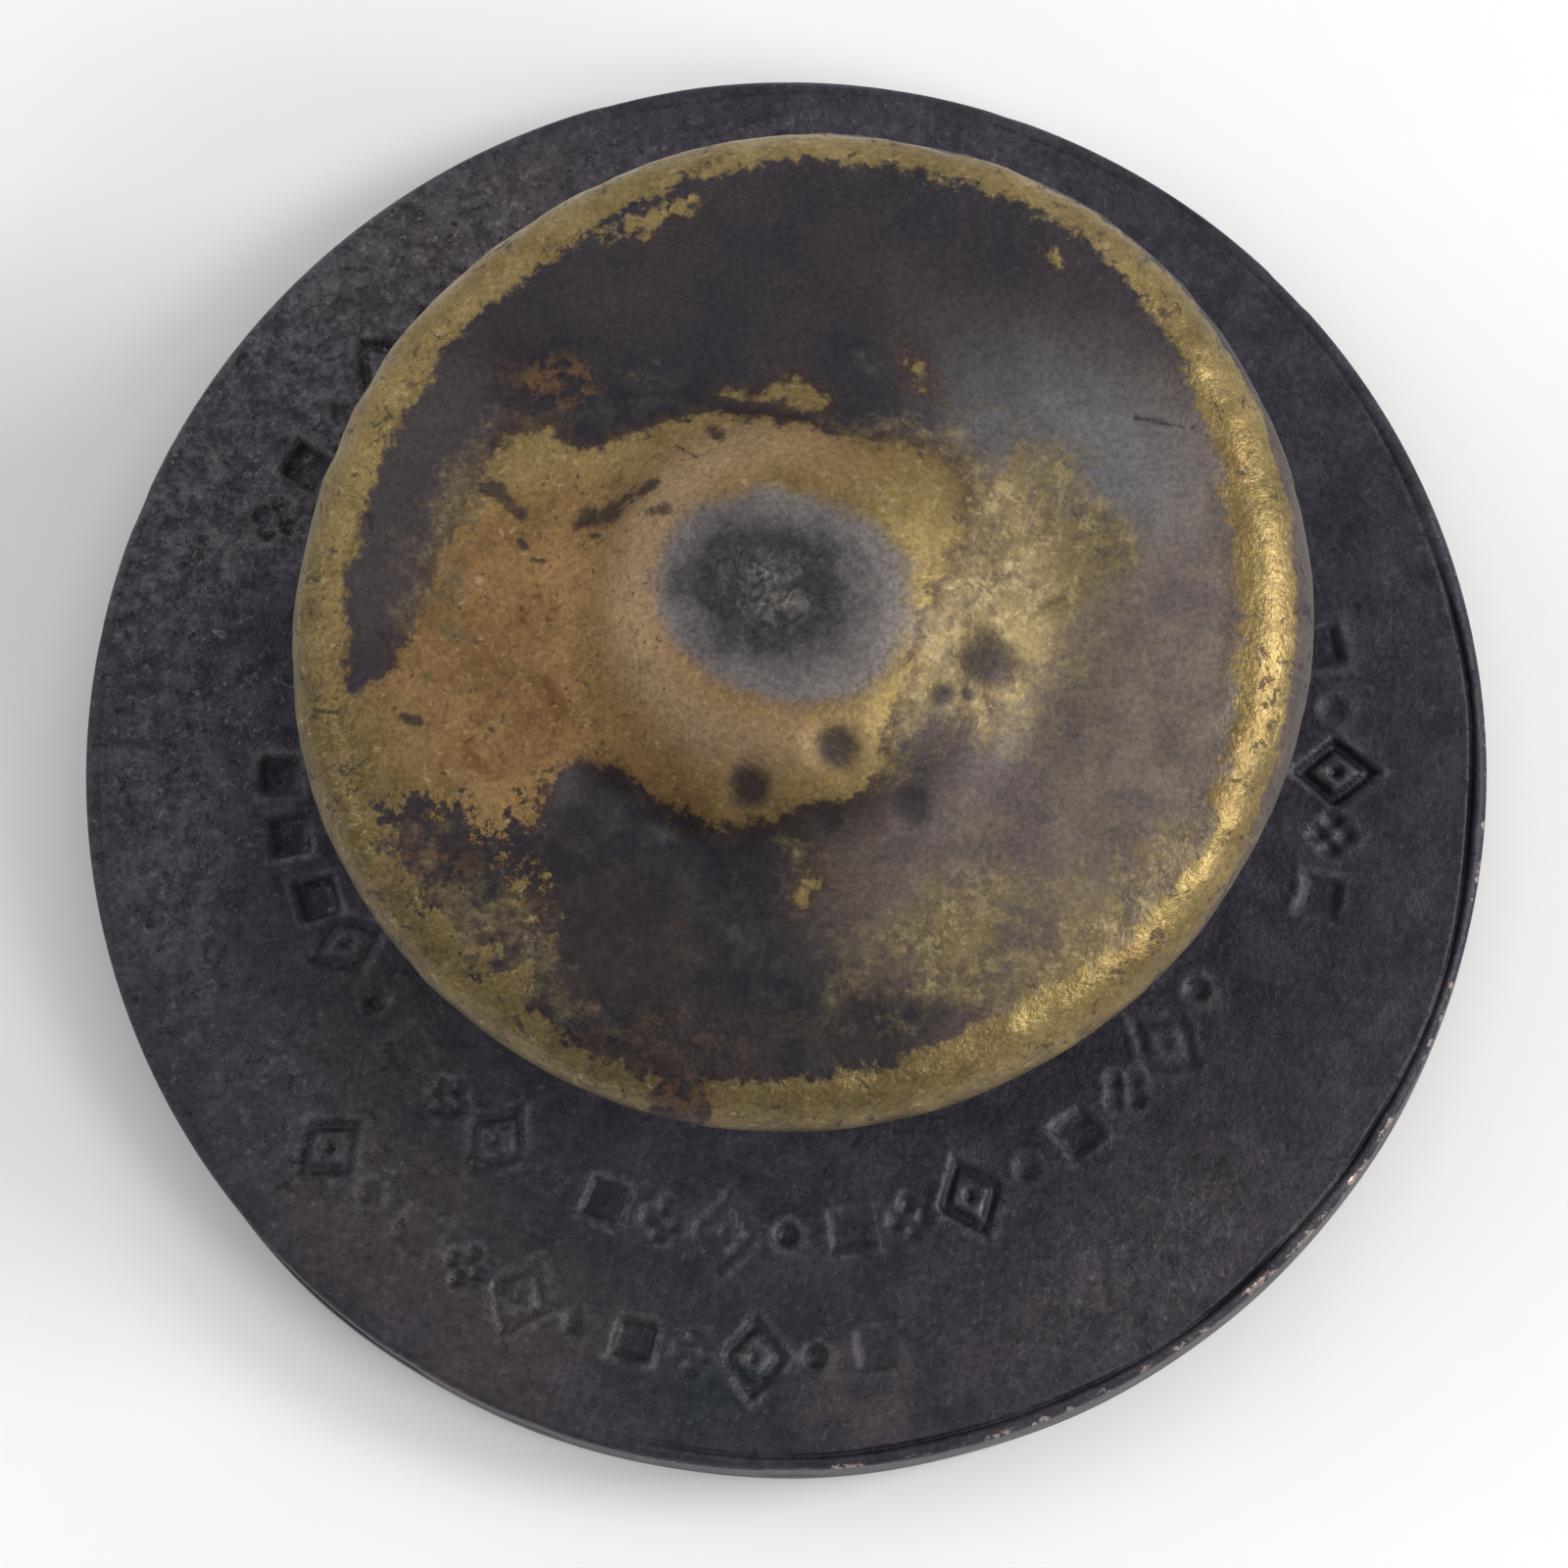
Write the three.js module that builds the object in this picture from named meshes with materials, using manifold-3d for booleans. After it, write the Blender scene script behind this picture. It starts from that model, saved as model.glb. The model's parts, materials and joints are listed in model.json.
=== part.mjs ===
// Screw-back lapel button, lying on its enamelled front with the threaded post pointing up.
// A struck bronze badge carries a soldered post; a hollow brass back screws onto the post and clamps
// the cloth of a lapel between the two. Units are millimetres, +Z is up, and the origin is the centre
// of the badge's front rim.
import * as THREE from "three";
import { mergeVertices } from "three/addons/utils/BufferGeometryUtils.js";
import Module from "manifold-3d";

const wasm = await Module();
wasm.setup();

// ---- Driving dimensions ----
const FIT_GAP = 0.03; // clearance between pieces that touch on the real object

// Badge
const BADGE_RADIUS = 9.5;
const BADGE_THICKNESS = 1.5;
const EDGE_CHAMFER = 0.12;
const TRIM_LIP_WIDTH = 0.2; // thin lip left round the back by the trimming die
const TRIM_GROOVE_WIDTH = 0.1;
const TRIM_GROOVE_DEPTH = 0.08;
const CELL_DEPTH = 0.45; // depth of the enamel cells below the rim
const ENAMEL_SINK = 0.05; // enamel is stoned this far below the metal
const RIM_WIDTH = 0.55;
const RING_WIDTH = 2.4; // outer enamel ring
const WALL_WIDTH = 0.4; // metal walls and spokes between cells
const CENTRE_CELL_RADIUS = 1.75;
const SECTOR_COUNT = 6;
const PELLET_COUNT = 12;
const PELLET_RADIUS = 0.42;

// Post and its thread, close to a 2-56 screw
const POST_OFFSET_X = 0.45; // the post is soldered a little off the badge's centre
const POST_OFFSET_Y = 0.95;
const THREAD_PITCH = 0.45;
const THREAD_CREST_RADIUS = 1.09;
const THREAD_ROOT_RADIUS = 0.84;
const THREAD_CLEARANCE = 0.05;
const FOOT_RADIUS = 2.0;
const FOOT_THICKNESS = 0.45;
const POST_TIP_HEIGHT = 7.4; // above the front rim
const SOLDER_FILLET = 0.6;
const SEAT_RADIUS = 2.8; // shallow spot face in the badge's back, under the foot
const SEAT_DEPTH = 0.12;

// Screw back
const BACK_RADIUS = 6.6;
const BACK_UNDERSIDE = 6.3; // height of the back plate's lower face
const PLATE_THICKNESS = 0.25;
const SHELL_THICKNESS = 0.28;
const ROLL_RADIUS = 0.85; // rolled rim of the shell
const LIP_WIDTH = 0.3; // how far the rolled lip reaches under the plate
const FIELD_HEIGHT = 7.85; // top of the shell's flat field
const HUB_TOP = 9.1;
const HUB_MOUTH_RADIUS = 1.1;
const BUSH_RADIUS = 1.55;
const BUSH_NECK_RADIUS = 1.68;
const BUSH_COLLAR_RADIUS = 2.4;
const SOLDER_SPOT_RADIUS = 1.45;

// Fineness of round surfaces
const BADGE_STEPS = 64;
const BACK_STEPS = 44;
const SMALL_STEPS = 24;
const THREAD_STEPS = 20;
const PELLET_STEPS = 12;

// ---- Derived places ----
const RING_OUTER = BADGE_RADIUS - RIM_WIDTH;
const RING_INNER = RING_OUTER - RING_WIDTH;
const SECTOR_OUTER = RING_INNER - WALL_WIDTH;
const SECTOR_INNER = CENTRE_CELL_RADIUS + WALL_WIDTH;
const ENAMEL_DEPTH = CELL_DEPTH - ENAMEL_SINK - FIT_GAP;
const PELLET_CIRCLE = (RING_INNER + RING_OUTER) / 2;
const SEAT_FLOOR = BADGE_THICKNESS - SEAT_DEPTH;
const FOOT_BOTTOM = SEAT_FLOOR + FIT_GAP;
const FOOT_TOP = FOOT_BOTTOM + FOOT_THICKNESS;
const ROLL_CENTRE_RADIUS = BACK_RADIUS - ROLL_RADIUS;
const LIP_TOP = BACK_UNDERSIDE - FIT_GAP;
const LIP_THICKNESS = 0.22;
const LIP_BOTTOM = LIP_TOP - LIP_THICKNESS;
const ROLL_CENTRE_HEIGHT = LIP_BOTTOM + ROLL_RADIUS;
const PLATE_RADIUS = ROLL_CENTRE_RADIUS + 0.2;
const PLATE_TOP = BACK_UNDERSIDE + PLATE_THICKNESS;
const BUSH_TOP = HUB_TOP - SHELL_THICKNESS - 2 * FIT_GAP;

// ---- Materials ----
const bronze = new THREE.MeshStandardMaterial({ color: 0x3f3c44, roughness: 0.55, metalness: 0.8 });
const brass = new THREE.MeshStandardMaterial({ color: 0x9a7b38, roughness: 0.35, metalness: 1.0 });
const dullBrass = new THREE.MeshStandardMaterial({ color: 0x6d5a38, roughness: 0.5, metalness: 0.9 });
const solder = new THREE.MeshStandardMaterial({ color: 0x6b6b70, roughness: 0.7, metalness: 0.7 });
const blueEnamel = new THREE.MeshStandardMaterial({ color: 0x1c2f63, roughness: 0.15, metalness: 0.0 });
const creamEnamel = new THREE.MeshStandardMaterial({ color: 0xd9d0b8, roughness: 0.2, metalness: 0.0 });
const redEnamel = new THREE.MeshStandardMaterial({ color: 0x8c1f22, roughness: 0.15, metalness: 0.0 });

// ---- Helpers ----

// Solid of revolution about Z from [radius, height] points, run counter-clockwise. A profile that
// doesn't start on the axis is closed back to its first point.
function turned(profile, steps) {
  const points = profile.map(([radius, height]) => new THREE.Vector2(radius, height));
  if (profile[0][0] > 0) points.push(points[0].clone());
  return new THREE.LatheGeometry(points, steps).rotateX(Math.PI / 2);
}

// Points of an arc in the profile plane, angles in degrees from the outward direction.
function profileArc(centreRadius, centreHeight, radius, fromDegrees, toDegrees, steps) {
  return Array.from({ length: steps + 1 }, (_, step) => {
    const angle = THREE.MathUtils.degToRad(fromDegrees + ((toDegrees - fromDegrees) * step) / steps);
    return [centreRadius + radius * Math.cos(angle), centreHeight + radius * Math.sin(angle)];
  });
}

function toManifold(geometry) {
  const bare = geometry.clone();
  bare.deleteAttribute("normal");
  bare.deleteAttribute("uv");
  const merged = mergeVertices(bare, 1e-4);
  const corners = merged.index.array;
  const kept = [];
  for (let i = 0; i < corners.length; i += 3) {
    const [a, b, c] = [corners[i], corners[i + 1], corners[i + 2]];
    if (a !== b && b !== c && a !== c) kept.push(a, b, c);
  }
  return new wasm.Manifold(
    new wasm.Mesh({
      numProp: 3,
      vertProperties: Float32Array.from(merged.attributes.position.array),
      triVerts: Uint32Array.from(kept),
    })
  );
}

function toGeometry(manifold) {
  const mesh = manifold.getMesh();
  const geometry = new THREE.BufferGeometry();
  geometry.setAttribute("position", new THREE.BufferAttribute(mesh.vertProperties, 3));
  geometry.setIndex(new THREE.BufferAttribute(mesh.triVerts, 1));
  geometry.computeVertexNormals();
  return geometry;
}

// Closed screw-shaped rod about Z, rising from below bottom to above top, with ragged ends that its
// user trims. One pitch has a root flat, a rising flank, a crest flat and a falling flank. Every
// column of points stands one step further round and one step higher, so rows follow the helix.
function screwRod(rootRadius, crestRadius, bottom, top) {
  const pitchProfile = [
    [0, rootRadius],
    [0.15, rootRadius],
    [0.5, crestRadius],
    [0.65, crestRadius],
  ];
  const perPitch = pitchProfile.length;
  const start = Math.floor(bottom / THREAD_PITCH) - 2;
  const turns = Math.ceil(top / THREAD_PITCH) + 2 - start;
  const lastRow = turns * perPitch;
  const positions = [];
  for (let row = 0; row <= lastRow; row++) {
    const [fraction, radius] = pitchProfile[row % perPitch];
    const turn = start + Math.floor(row / perPitch) + fraction;
    for (let step = 0; step < THREAD_STEPS; step++) {
      const angle = (2 * Math.PI * step) / THREAD_STEPS;
      const height = THREAD_PITCH * (turn + step / THREAD_STEPS);
      positions.push(radius * Math.cos(angle), radius * Math.sin(angle), height);
    }
  }
  const point = (row, step) => row * THREAD_STEPS + step;
  const lastStep = THREAD_STEPS - 1;
  const triangles = [];
  const quad = (a, b, c, d) => triangles.push(a, b, c, a, c, d);
  for (let row = 0; row < lastRow; row++) {
    for (let step = 0; step < lastStep; step++) {
      quad(point(row, step), point(row, step + 1), point(row + 1, step + 1), point(row + 1, step));
    }
    if (row + perPitch < lastRow) {
      const seamRow = row + perPitch;
      quad(point(row, lastStep), point(seamRow, 0), point(seamRow + 1, 0), point(row + 1, lastStep));
    }
  }
  const lowLoop = [];
  const highLoop = [];
  for (let step = 0; step < THREAD_STEPS; step++) {
    lowLoop.push(point(0, step));
    highLoop.push(point(lastRow, step));
  }
  for (let back = 0; back < perPitch; back++) {
    lowLoop.push(point(perPitch - back, 0));
    highLoop.push(point(lastRow - 1 - back, lastStep));
  }
  const lowCentre = positions.length / 3;
  positions.push(0, 0, THREAD_PITCH * (start + 0.5), 0, 0, THREAD_PITCH * (start + turns + 0.5));
  lowLoop.forEach((a, i) => triangles.push(lowCentre, lowLoop[(i + 1) % lowLoop.length], a));
  highLoop.forEach((a, i) => triangles.push(lowCentre + 1, a, highLoop[(i + 1) % highLoop.length]));
  return new wasm.Manifold(
    new wasm.Mesh({
      numProp: 3,
      vertProperties: Float32Array.from(positions),
      triVerts: Uint32Array.from(triangles),
    })
  );
}

// Flat piece that fills a cell on the front, from a flat outline.
function enamelFill(outline, curveSteps) {
  const geometry = new THREE.ExtrudeGeometry(outline, {
    depth: ENAMEL_DEPTH,
    bevelEnabled: false,
    curveSegments: curveSteps,
  });
  return geometry.translate(0, 0, ENAMEL_SINK);
}

function named(name, geometry, material) {
  const mesh = new THREE.Mesh(geometry, material);
  mesh.name = name;
  return mesh;
}

// ---- Badge ----

const sectorStart = (index) => Math.PI / 2 + (2 * Math.PI * index) / SECTOR_COUNT;
const pelletPlace = (index) => {
  const angle = (2 * Math.PI * (index + 0.5)) / PELLET_COUNT;
  return [PELLET_CIRCLE * Math.cos(angle), PELLET_CIRCLE * Math.sin(angle)];
};

function badgeDisc() {
  const grooveOuter = BADGE_RADIUS - TRIM_LIP_WIDTH;
  const grooveInner = grooveOuter - TRIM_GROOVE_WIDTH;
  const grooveFloor = BADGE_THICKNESS - TRIM_GROOVE_DEPTH;
  const blank = toManifold(
    turned(
      [
        [0, CELL_DEPTH],
        [CENTRE_CELL_RADIUS, CELL_DEPTH],
        [CENTRE_CELL_RADIUS, 0],
        [SECTOR_INNER, 0],
        [SECTOR_INNER, CELL_DEPTH],
        [SECTOR_OUTER, CELL_DEPTH],
        [SECTOR_OUTER, 0],
        [RING_INNER, 0],
        [RING_INNER, CELL_DEPTH],
        [RING_OUTER, CELL_DEPTH],
        [RING_OUTER, 0],
        [BADGE_RADIUS - EDGE_CHAMFER, 0],
        [BADGE_RADIUS, EDGE_CHAMFER],
        [BADGE_RADIUS, BADGE_THICKNESS - EDGE_CHAMFER],
        [BADGE_RADIUS - EDGE_CHAMFER / 2, BADGE_THICKNESS],
        [grooveOuter, BADGE_THICKNESS],
        [grooveOuter - TRIM_GROOVE_WIDTH / 2, grooveFloor],
        [grooveInner, BADGE_THICKNESS],
        [0, BADGE_THICKNESS],
      ],
      BADGE_STEPS
    )
  );
  const spokeReach = SECTOR_OUTER - SECTOR_INNER + WALL_WIDTH;
  let struck = blank;
  for (let index = 0; index < SECTOR_COUNT; index++) {
    const spoke = new THREE.BoxGeometry(spokeReach, WALL_WIDTH, 2 * CELL_DEPTH)
      .translate((SECTOR_INNER + SECTOR_OUTER) / 2, 0, CELL_DEPTH)
      .rotateZ(sectorStart(index));
    struck = struck.add(toManifold(spoke));
  }
  for (let index = 0; index < PELLET_COUNT; index++) {
    const pellet = new THREE.CylinderGeometry(PELLET_RADIUS, PELLET_RADIUS, 2 * CELL_DEPTH, PELLET_STEPS)
      .rotateX(Math.PI / 2)
      .translate(...pelletPlace(index), CELL_DEPTH);
    struck = struck.add(toManifold(pellet));
  }
  const spotFace = new THREE.CylinderGeometry(SEAT_RADIUS, SEAT_RADIUS, 2 * SEAT_DEPTH, BADGE_STEPS / 2)
    .rotateX(Math.PI / 2)
    .translate(POST_OFFSET_X, POST_OFFSET_Y, BADGE_THICKNESS);
  return named("badge_disc", toGeometry(struck.subtract(toManifold(spotFace))), bronze);
}

function enamelRing() {
  const outline = new THREE.Shape();
  outline.absarc(0, 0, RING_OUTER - FIT_GAP, 0, 2 * Math.PI, false);
  const hole = new THREE.Path();
  hole.absarc(0, 0, RING_INNER + FIT_GAP, 0, 2 * Math.PI, true);
  outline.holes.push(hole);
  for (let index = 0; index < PELLET_COUNT; index++) {
    const middle = new THREE.Vector2(...pelletPlace(index));
    const rim = Array.from({ length: PELLET_STEPS }, (_, step) => {
      const angle = (-2 * Math.PI * step) / PELLET_STEPS;
      return new THREE.Vector2(PELLET_RADIUS + FIT_GAP, 0).rotateAround(new THREE.Vector2(), angle).add(middle);
    });
    outline.holes.push(new THREE.Path(rim));
  }
  return named("enamel_ring", enamelFill(outline, BADGE_STEPS / 2), blueEnamel);
}

// One cell between two spokes: its straight sides keep the same distance from the spokes' middles.
function enamelSector(index) {
  const sideOffset = WALL_WIDTH / 2 + FIT_GAP;
  const outer = SECTOR_OUTER - FIT_GAP;
  const inner = SECTOR_INNER + FIT_GAP;
  const from = sectorStart(index);
  const to = sectorStart(index + 1);
  const outerTrim = Math.asin(sideOffset / outer);
  const innerTrim = Math.asin(sideOffset / inner);
  const outline = new THREE.Shape();
  outline.absarc(0, 0, outer, from + outerTrim, to - outerTrim, false);
  outline.absarc(0, 0, inner, to - innerTrim, from + innerTrim, true);
  const material = index % 2 ? creamEnamel : redEnamel;
  return named(`enamel_sector_${index + 1}`, enamelFill(outline, 6), material);
}

function enamelCentre() {
  const outline = new THREE.Shape();
  outline.absarc(0, 0, CENTRE_CELL_RADIUS - FIT_GAP, 0, 2 * Math.PI, false);
  return named("enamel_centre", enamelFill(outline, SMALL_STEPS / 2), creamEnamel);
}

// ---- Post ----

// Turned stud: a round foot, a plain neck and a threaded shank with a chamfered tip.
function threadedPost() {
  const neckTop = FOOT_TOP + 0.55;
  const tipChamfer = 0.2;
  const envelope = toManifold(
    turned(
      [
        [0, neckTop - 0.2],
        [THREAD_CREST_RADIUS + 0.1, neckTop - 0.2],
        [THREAD_CREST_RADIUS + 0.1, POST_TIP_HEIGHT - tipChamfer - 0.1],
        [THREAD_ROOT_RADIUS - 0.05, POST_TIP_HEIGHT],
        [0, POST_TIP_HEIGHT],
      ],
      THREAD_STEPS
    )
  );
  const shank = screwRod(THREAD_ROOT_RADIUS, THREAD_CREST_RADIUS, neckTop, POST_TIP_HEIGHT);
  const foot = toManifold(
    turned(
      [
        [0, FOOT_BOTTOM],
        [FOOT_RADIUS, FOOT_BOTTOM],
        [FOOT_RADIUS, FOOT_TOP - 0.1],
        [FOOT_RADIUS - 0.1, FOOT_TOP],
        [THREAD_CREST_RADIUS + 0.12, FOOT_TOP],
        [THREAD_CREST_RADIUS - 0.05, FOOT_TOP + 0.15],
        [THREAD_CREST_RADIUS - 0.05, neckTop - 0.15],
        [THREAD_ROOT_RADIUS - 0.05, neckTop],
        [0, neckTop],
      ],
      SMALL_STEPS
    )
  );
  return named("threaded_post", toGeometry(shank.intersect(envelope).add(foot)), dullBrass);
}

// Concave ring of solder round the foot.
function footSolder() {
  const inner = FOOT_RADIUS + FIT_GAP;
  const top = FOOT_TOP - 0.08;
  const fillet = profileArc(inner + SOLDER_FILLET, FOOT_BOTTOM + SOLDER_FILLET, SOLDER_FILLET, 270, 214, 6);
  const profile = [
    [inner, FOOT_BOTTOM],
    [inner + SOLDER_FILLET + 0.1, FOOT_BOTTOM],
    ...fillet.map(([radius, height]) => [radius, Math.min(height + 0.06, top)]),
    [inner, top],
  ];
  return named("foot_solder", turned(profile, SMALL_STEPS), solder);
}

// ---- Screw back ----

// Spun shell: from the lip under the plate, round the rolled rim, over the field and up the hub, then
// back along the inside.
function backCap() {
  const lipInner = PLATE_RADIUS - LIP_WIDTH;
  const outside = [
    [lipInner, LIP_BOTTOM],
    ...profileArc(ROLL_CENTRE_RADIUS, ROLL_CENTRE_HEIGHT, ROLL_RADIUS, -90, 82, 9),
    [4.6, FIELD_HEIGHT],
    [3.3, FIELD_HEIGHT + 0.02],
    [2.95, FIELD_HEIGHT + 0.13],
    [2.6, FIELD_HEIGHT + 0.36],
    [2.25, FIELD_HEIGHT + 0.72],
    [1.95, HUB_TOP - 0.22],
    [1.65, HUB_TOP - 0.06],
    [HUB_MOUTH_RADIUS, HUB_TOP],
  ];
  const inside = [
    [HUB_MOUTH_RADIUS, HUB_TOP - SHELL_THICKNESS],
    [1.55, HUB_TOP - SHELL_THICKNESS - 0.06],
    [1.74, HUB_TOP - SHELL_THICKNESS - 0.2],
    [2.02, FIELD_HEIGHT + 0.5],
    [2.38, FIELD_HEIGHT + 0.14],
    [2.78, FIELD_HEIGHT - 0.13],
    [3.25, FIELD_HEIGHT - SHELL_THICKNESS],
    [4.6, FIELD_HEIGHT - SHELL_THICKNESS - 0.02],
    ...profileArc(ROLL_CENTRE_RADIUS, ROLL_CENTRE_HEIGHT, ROLL_RADIUS - SHELL_THICKNESS, 82, -30, 5),
    [PLATE_RADIUS + 0.14, LIP_TOP + 0.14],
    [PLATE_RADIUS + 0.04, LIP_TOP],
    [lipInner, LIP_TOP],
  ];
  return named("back_cap", turned([...outside, ...inside], BACK_STEPS), brass);
}

function backPlate() {
  const holeRadius = BUSH_NECK_RADIUS + FIT_GAP;
  const profile = [
    [holeRadius, BACK_UNDERSIDE],
    [PLATE_RADIUS, BACK_UNDERSIDE],
    [PLATE_RADIUS, PLATE_TOP],
    [holeRadius, PLATE_TOP],
  ];
  return named("back_plate", turned(profile, BACK_STEPS), dullBrass);
}

// Tapped bush: neck through the plate, collar on it, and body up into the hub.
function threadedHub() {
  const collarBottom = PLATE_TOP + FIT_GAP;
  const collarTop = collarBottom + 0.28;
  const leadIn = 0.15;
  const body = toManifold(
    turned(
      [
        [0, LIP_BOTTOM],
        [BUSH_NECK_RADIUS - 0.1, LIP_BOTTOM],
        [BUSH_NECK_RADIUS, LIP_BOTTOM + 0.1],
        [BUSH_NECK_RADIUS, collarBottom],
        [BUSH_COLLAR_RADIUS, collarBottom],
        [BUSH_COLLAR_RADIUS, collarTop],
        [BUSH_RADIUS, collarTop],
        [BUSH_RADIUS, BUSH_TOP - 0.35],
        [BUSH_RADIUS - 0.3, BUSH_TOP],
        [0, BUSH_TOP],
      ],
      SMALL_STEPS
    )
  );
  const tap = screwRod(
    THREAD_ROOT_RADIUS + THREAD_CLEARANCE,
    THREAD_CREST_RADIUS + THREAD_CLEARANCE,
    LIP_BOTTOM,
    BUSH_TOP
  );
  const mouthRadius = THREAD_CREST_RADIUS + THREAD_CLEARANCE;
  const countersink = toManifold(
    turned(
      [
        [0, LIP_BOTTOM - 0.2],
        [mouthRadius + leadIn, LIP_BOTTOM - 0.2],
        [mouthRadius + leadIn, LIP_BOTTOM],
        [THREAD_ROOT_RADIUS, LIP_BOTTOM + 2 * leadIn],
        [0, LIP_BOTTOM + 2 * leadIn],
      ],
      THREAD_STEPS
    )
  );
  return named("threaded_hub", toGeometry(body.subtract(tap).subtract(countersink)), dullBrass);
}

// Plug of solder in the mouth of the hub, spread into a low spot on top.
function hubSolder() {
  const stem = HUB_MOUTH_RADIUS - FIT_GAP;
  const seat = HUB_TOP + FIT_GAP;
  const profile = [
    [0, BUSH_TOP + FIT_GAP],
    [stem, BUSH_TOP + FIT_GAP],
    [stem, seat],
    [SOLDER_SPOT_RADIUS, seat],
    [SOLDER_SPOT_RADIUS - 0.15, seat + 0.07],
    [SOLDER_SPOT_RADIUS - 0.6, seat + 0.13],
    [0, seat + 0.15],
  ];
  return named("hub_solder", turned(profile, SMALL_STEPS), solder);
}

// ---- Assembly ----

const badge = new THREE.Group();
badge.add(badgeDisc(), enamelRing(), enamelCentre());
for (let index = 0; index < SECTOR_COUNT; index++) badge.add(enamelSector(index));

const onPostAxis = new THREE.Group();
onPostAxis.position.set(POST_OFFSET_X, POST_OFFSET_Y, 0);
onPostAxis.add(threadedPost(), footSolder(), backCap(), backPlate(), threadedHub(), hubSolder());

const button = new THREE.Group();
button.add(badge, onPostAxis);

export default button;
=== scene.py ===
"""Screw-back lapel button seen from behind: the looks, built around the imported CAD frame.

Lengths in the modelling code are millimetres in the CAD frame and are turned into metres when a mesh
is made. The badge lies on its enamelled front, and the brass back stands over it on a threaded post.
"""
import json
import math

import bmesh
import bpy
import numpy as np
from mathutils import Matrix, Vector


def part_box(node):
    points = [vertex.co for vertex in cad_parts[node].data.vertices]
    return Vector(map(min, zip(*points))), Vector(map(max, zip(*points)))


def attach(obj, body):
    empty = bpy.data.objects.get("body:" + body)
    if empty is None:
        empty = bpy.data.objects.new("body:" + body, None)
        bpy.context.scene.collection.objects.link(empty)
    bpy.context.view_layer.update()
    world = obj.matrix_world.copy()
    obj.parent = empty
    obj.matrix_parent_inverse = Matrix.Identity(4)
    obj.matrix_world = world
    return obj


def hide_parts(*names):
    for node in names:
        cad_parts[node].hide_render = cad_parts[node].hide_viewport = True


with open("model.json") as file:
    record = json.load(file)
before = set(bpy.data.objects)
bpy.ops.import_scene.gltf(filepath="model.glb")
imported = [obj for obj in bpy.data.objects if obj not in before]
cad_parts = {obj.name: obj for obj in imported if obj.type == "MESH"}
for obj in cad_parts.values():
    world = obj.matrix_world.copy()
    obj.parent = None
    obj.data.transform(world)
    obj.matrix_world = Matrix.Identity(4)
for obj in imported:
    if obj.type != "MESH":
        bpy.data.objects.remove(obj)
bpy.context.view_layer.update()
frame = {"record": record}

MM = 0.001
TURN = 2 * math.pi


def box_mm(node):
    """Lowest and highest corner of a CAD node, in mm."""
    low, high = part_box(node)
    return np.array(low) / MM, np.array(high) / MM


def half_width(node):
    low, high = box_mm(node)
    return (high[0] - low[0]) / 2


# ---- Sizes, from the frame ----
cap_low, cap_high = box_mm("back_cap")
plate_low, plate_high = box_mm("back_plate")
post_low, post_high = box_mm("threaded_post")
hub_low, hub_high = box_mm("threaded_hub")
fillet_low, fillet_high = box_mm("foot_solder")

BADGE_RADIUS = half_width("badge_disc")
BADGE_TOP = box_mm("badge_disc")[1][2]
POST_AXIS = (cap_low[:2] + cap_high[:2]) / 2
FOOT_RADIUS = half_width("threaded_post")
CAP_RADIUS = half_width("back_cap")
LIP_BOTTOM = cap_low[2]
HUB_TOP = cap_high[2]
PLUG_BOTTOM = box_mm("hub_solder")[0][2]
ENAMEL_BACK = box_mm("enamel_ring")[1][2]
PLATE_RADIUS = half_width("back_plate")
COLLAR_RADIUS = half_width("threaded_hub")
PITCH = TURN / frame["record"]["behaviour"]["couplings"][0]["ratio"] / MM

# ---- Sizes shared with the CAD source ----
FIT_GAP = 0.03
ROLL_RADIUS = 0.85
SHELL = 0.28
FIELD_TOP = 7.85
MOUTH_RADIUS = 1.1
ROOT_RADIUS = 0.84
CREST_RADIUS = 1.09
SEAT_RADIUS = 2.8
SEAT_DEPTH = 0.12
WALL = 0.4
CENTRE_CELL = 1.75
SECTORS = 6
PELLETS = 12
RING_WIDTH = 2.4
RIM_INNER = half_width("enamel_ring") + FIT_GAP
RING_INNER = RIM_INNER - RING_WIDTH

# The marks on the brass face are placed from a point this far below the hub's axis.
MARKS_BELOW = 0.17


# ---- Fields over a surface ----


def ramp(value, low, high):
    """0 below low, 1 above high, smooth between."""
    t = np.clip((value - low) / (high - low), 0, 1)
    return t * t * (3 - 2 * t)


def ripples(x, y, size, seed, waves=16):
    """Smooth random field, mostly between -1 and 1, with lumps of about that size in mm."""
    rng = np.random.default_rng(seed)
    total = np.zeros_like(x)
    for _ in range(waves):
        heading, phase = rng.uniform(0, TURN, 2)
        step = TURN / (size * rng.uniform(1.3, 3.0))
        total += np.sin(step * (x * math.cos(heading) + y * math.sin(heading)) + phase)
    return total / math.sqrt(waves)


def inside(x, y, place, size, lean=0.0):
    """Roughly how far inside an ellipse a point is, in mm. Size is its half-axes, lean is in degrees."""
    turn = math.radians(lean)
    dx, dy = x - place[0], y - place[1]
    along = dx * math.cos(turn) + dy * math.sin(turn)
    across = -dx * math.sin(turn) + dy * math.cos(turn)
    distance = np.hypot(along / size[0], across / size[1])
    return (1 - distance) * min(size)


def stains(x, y, zones, join=np.add):
    """Soft ellipses joined into one field. Each has a strength, place, half-axes and lean, and how far
    inside its outline, in mm, it starts and is full."""
    total = np.zeros_like(x)
    for strength, place, size, lean, start, full in zones:
        total = join(total, strength * ramp(inside(x, y, place, size, lean), start, full))
    return total


def deepest(x, y, zones):
    """How far inside the deepest of some ellipses. Each has a place, half-axes, lean, gain and offset."""
    depths = [inside(x, y, place, size, lean) * gain + offset for place, size, lean, gain, offset in zones]
    return np.maximum.reduce(depths)


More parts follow.
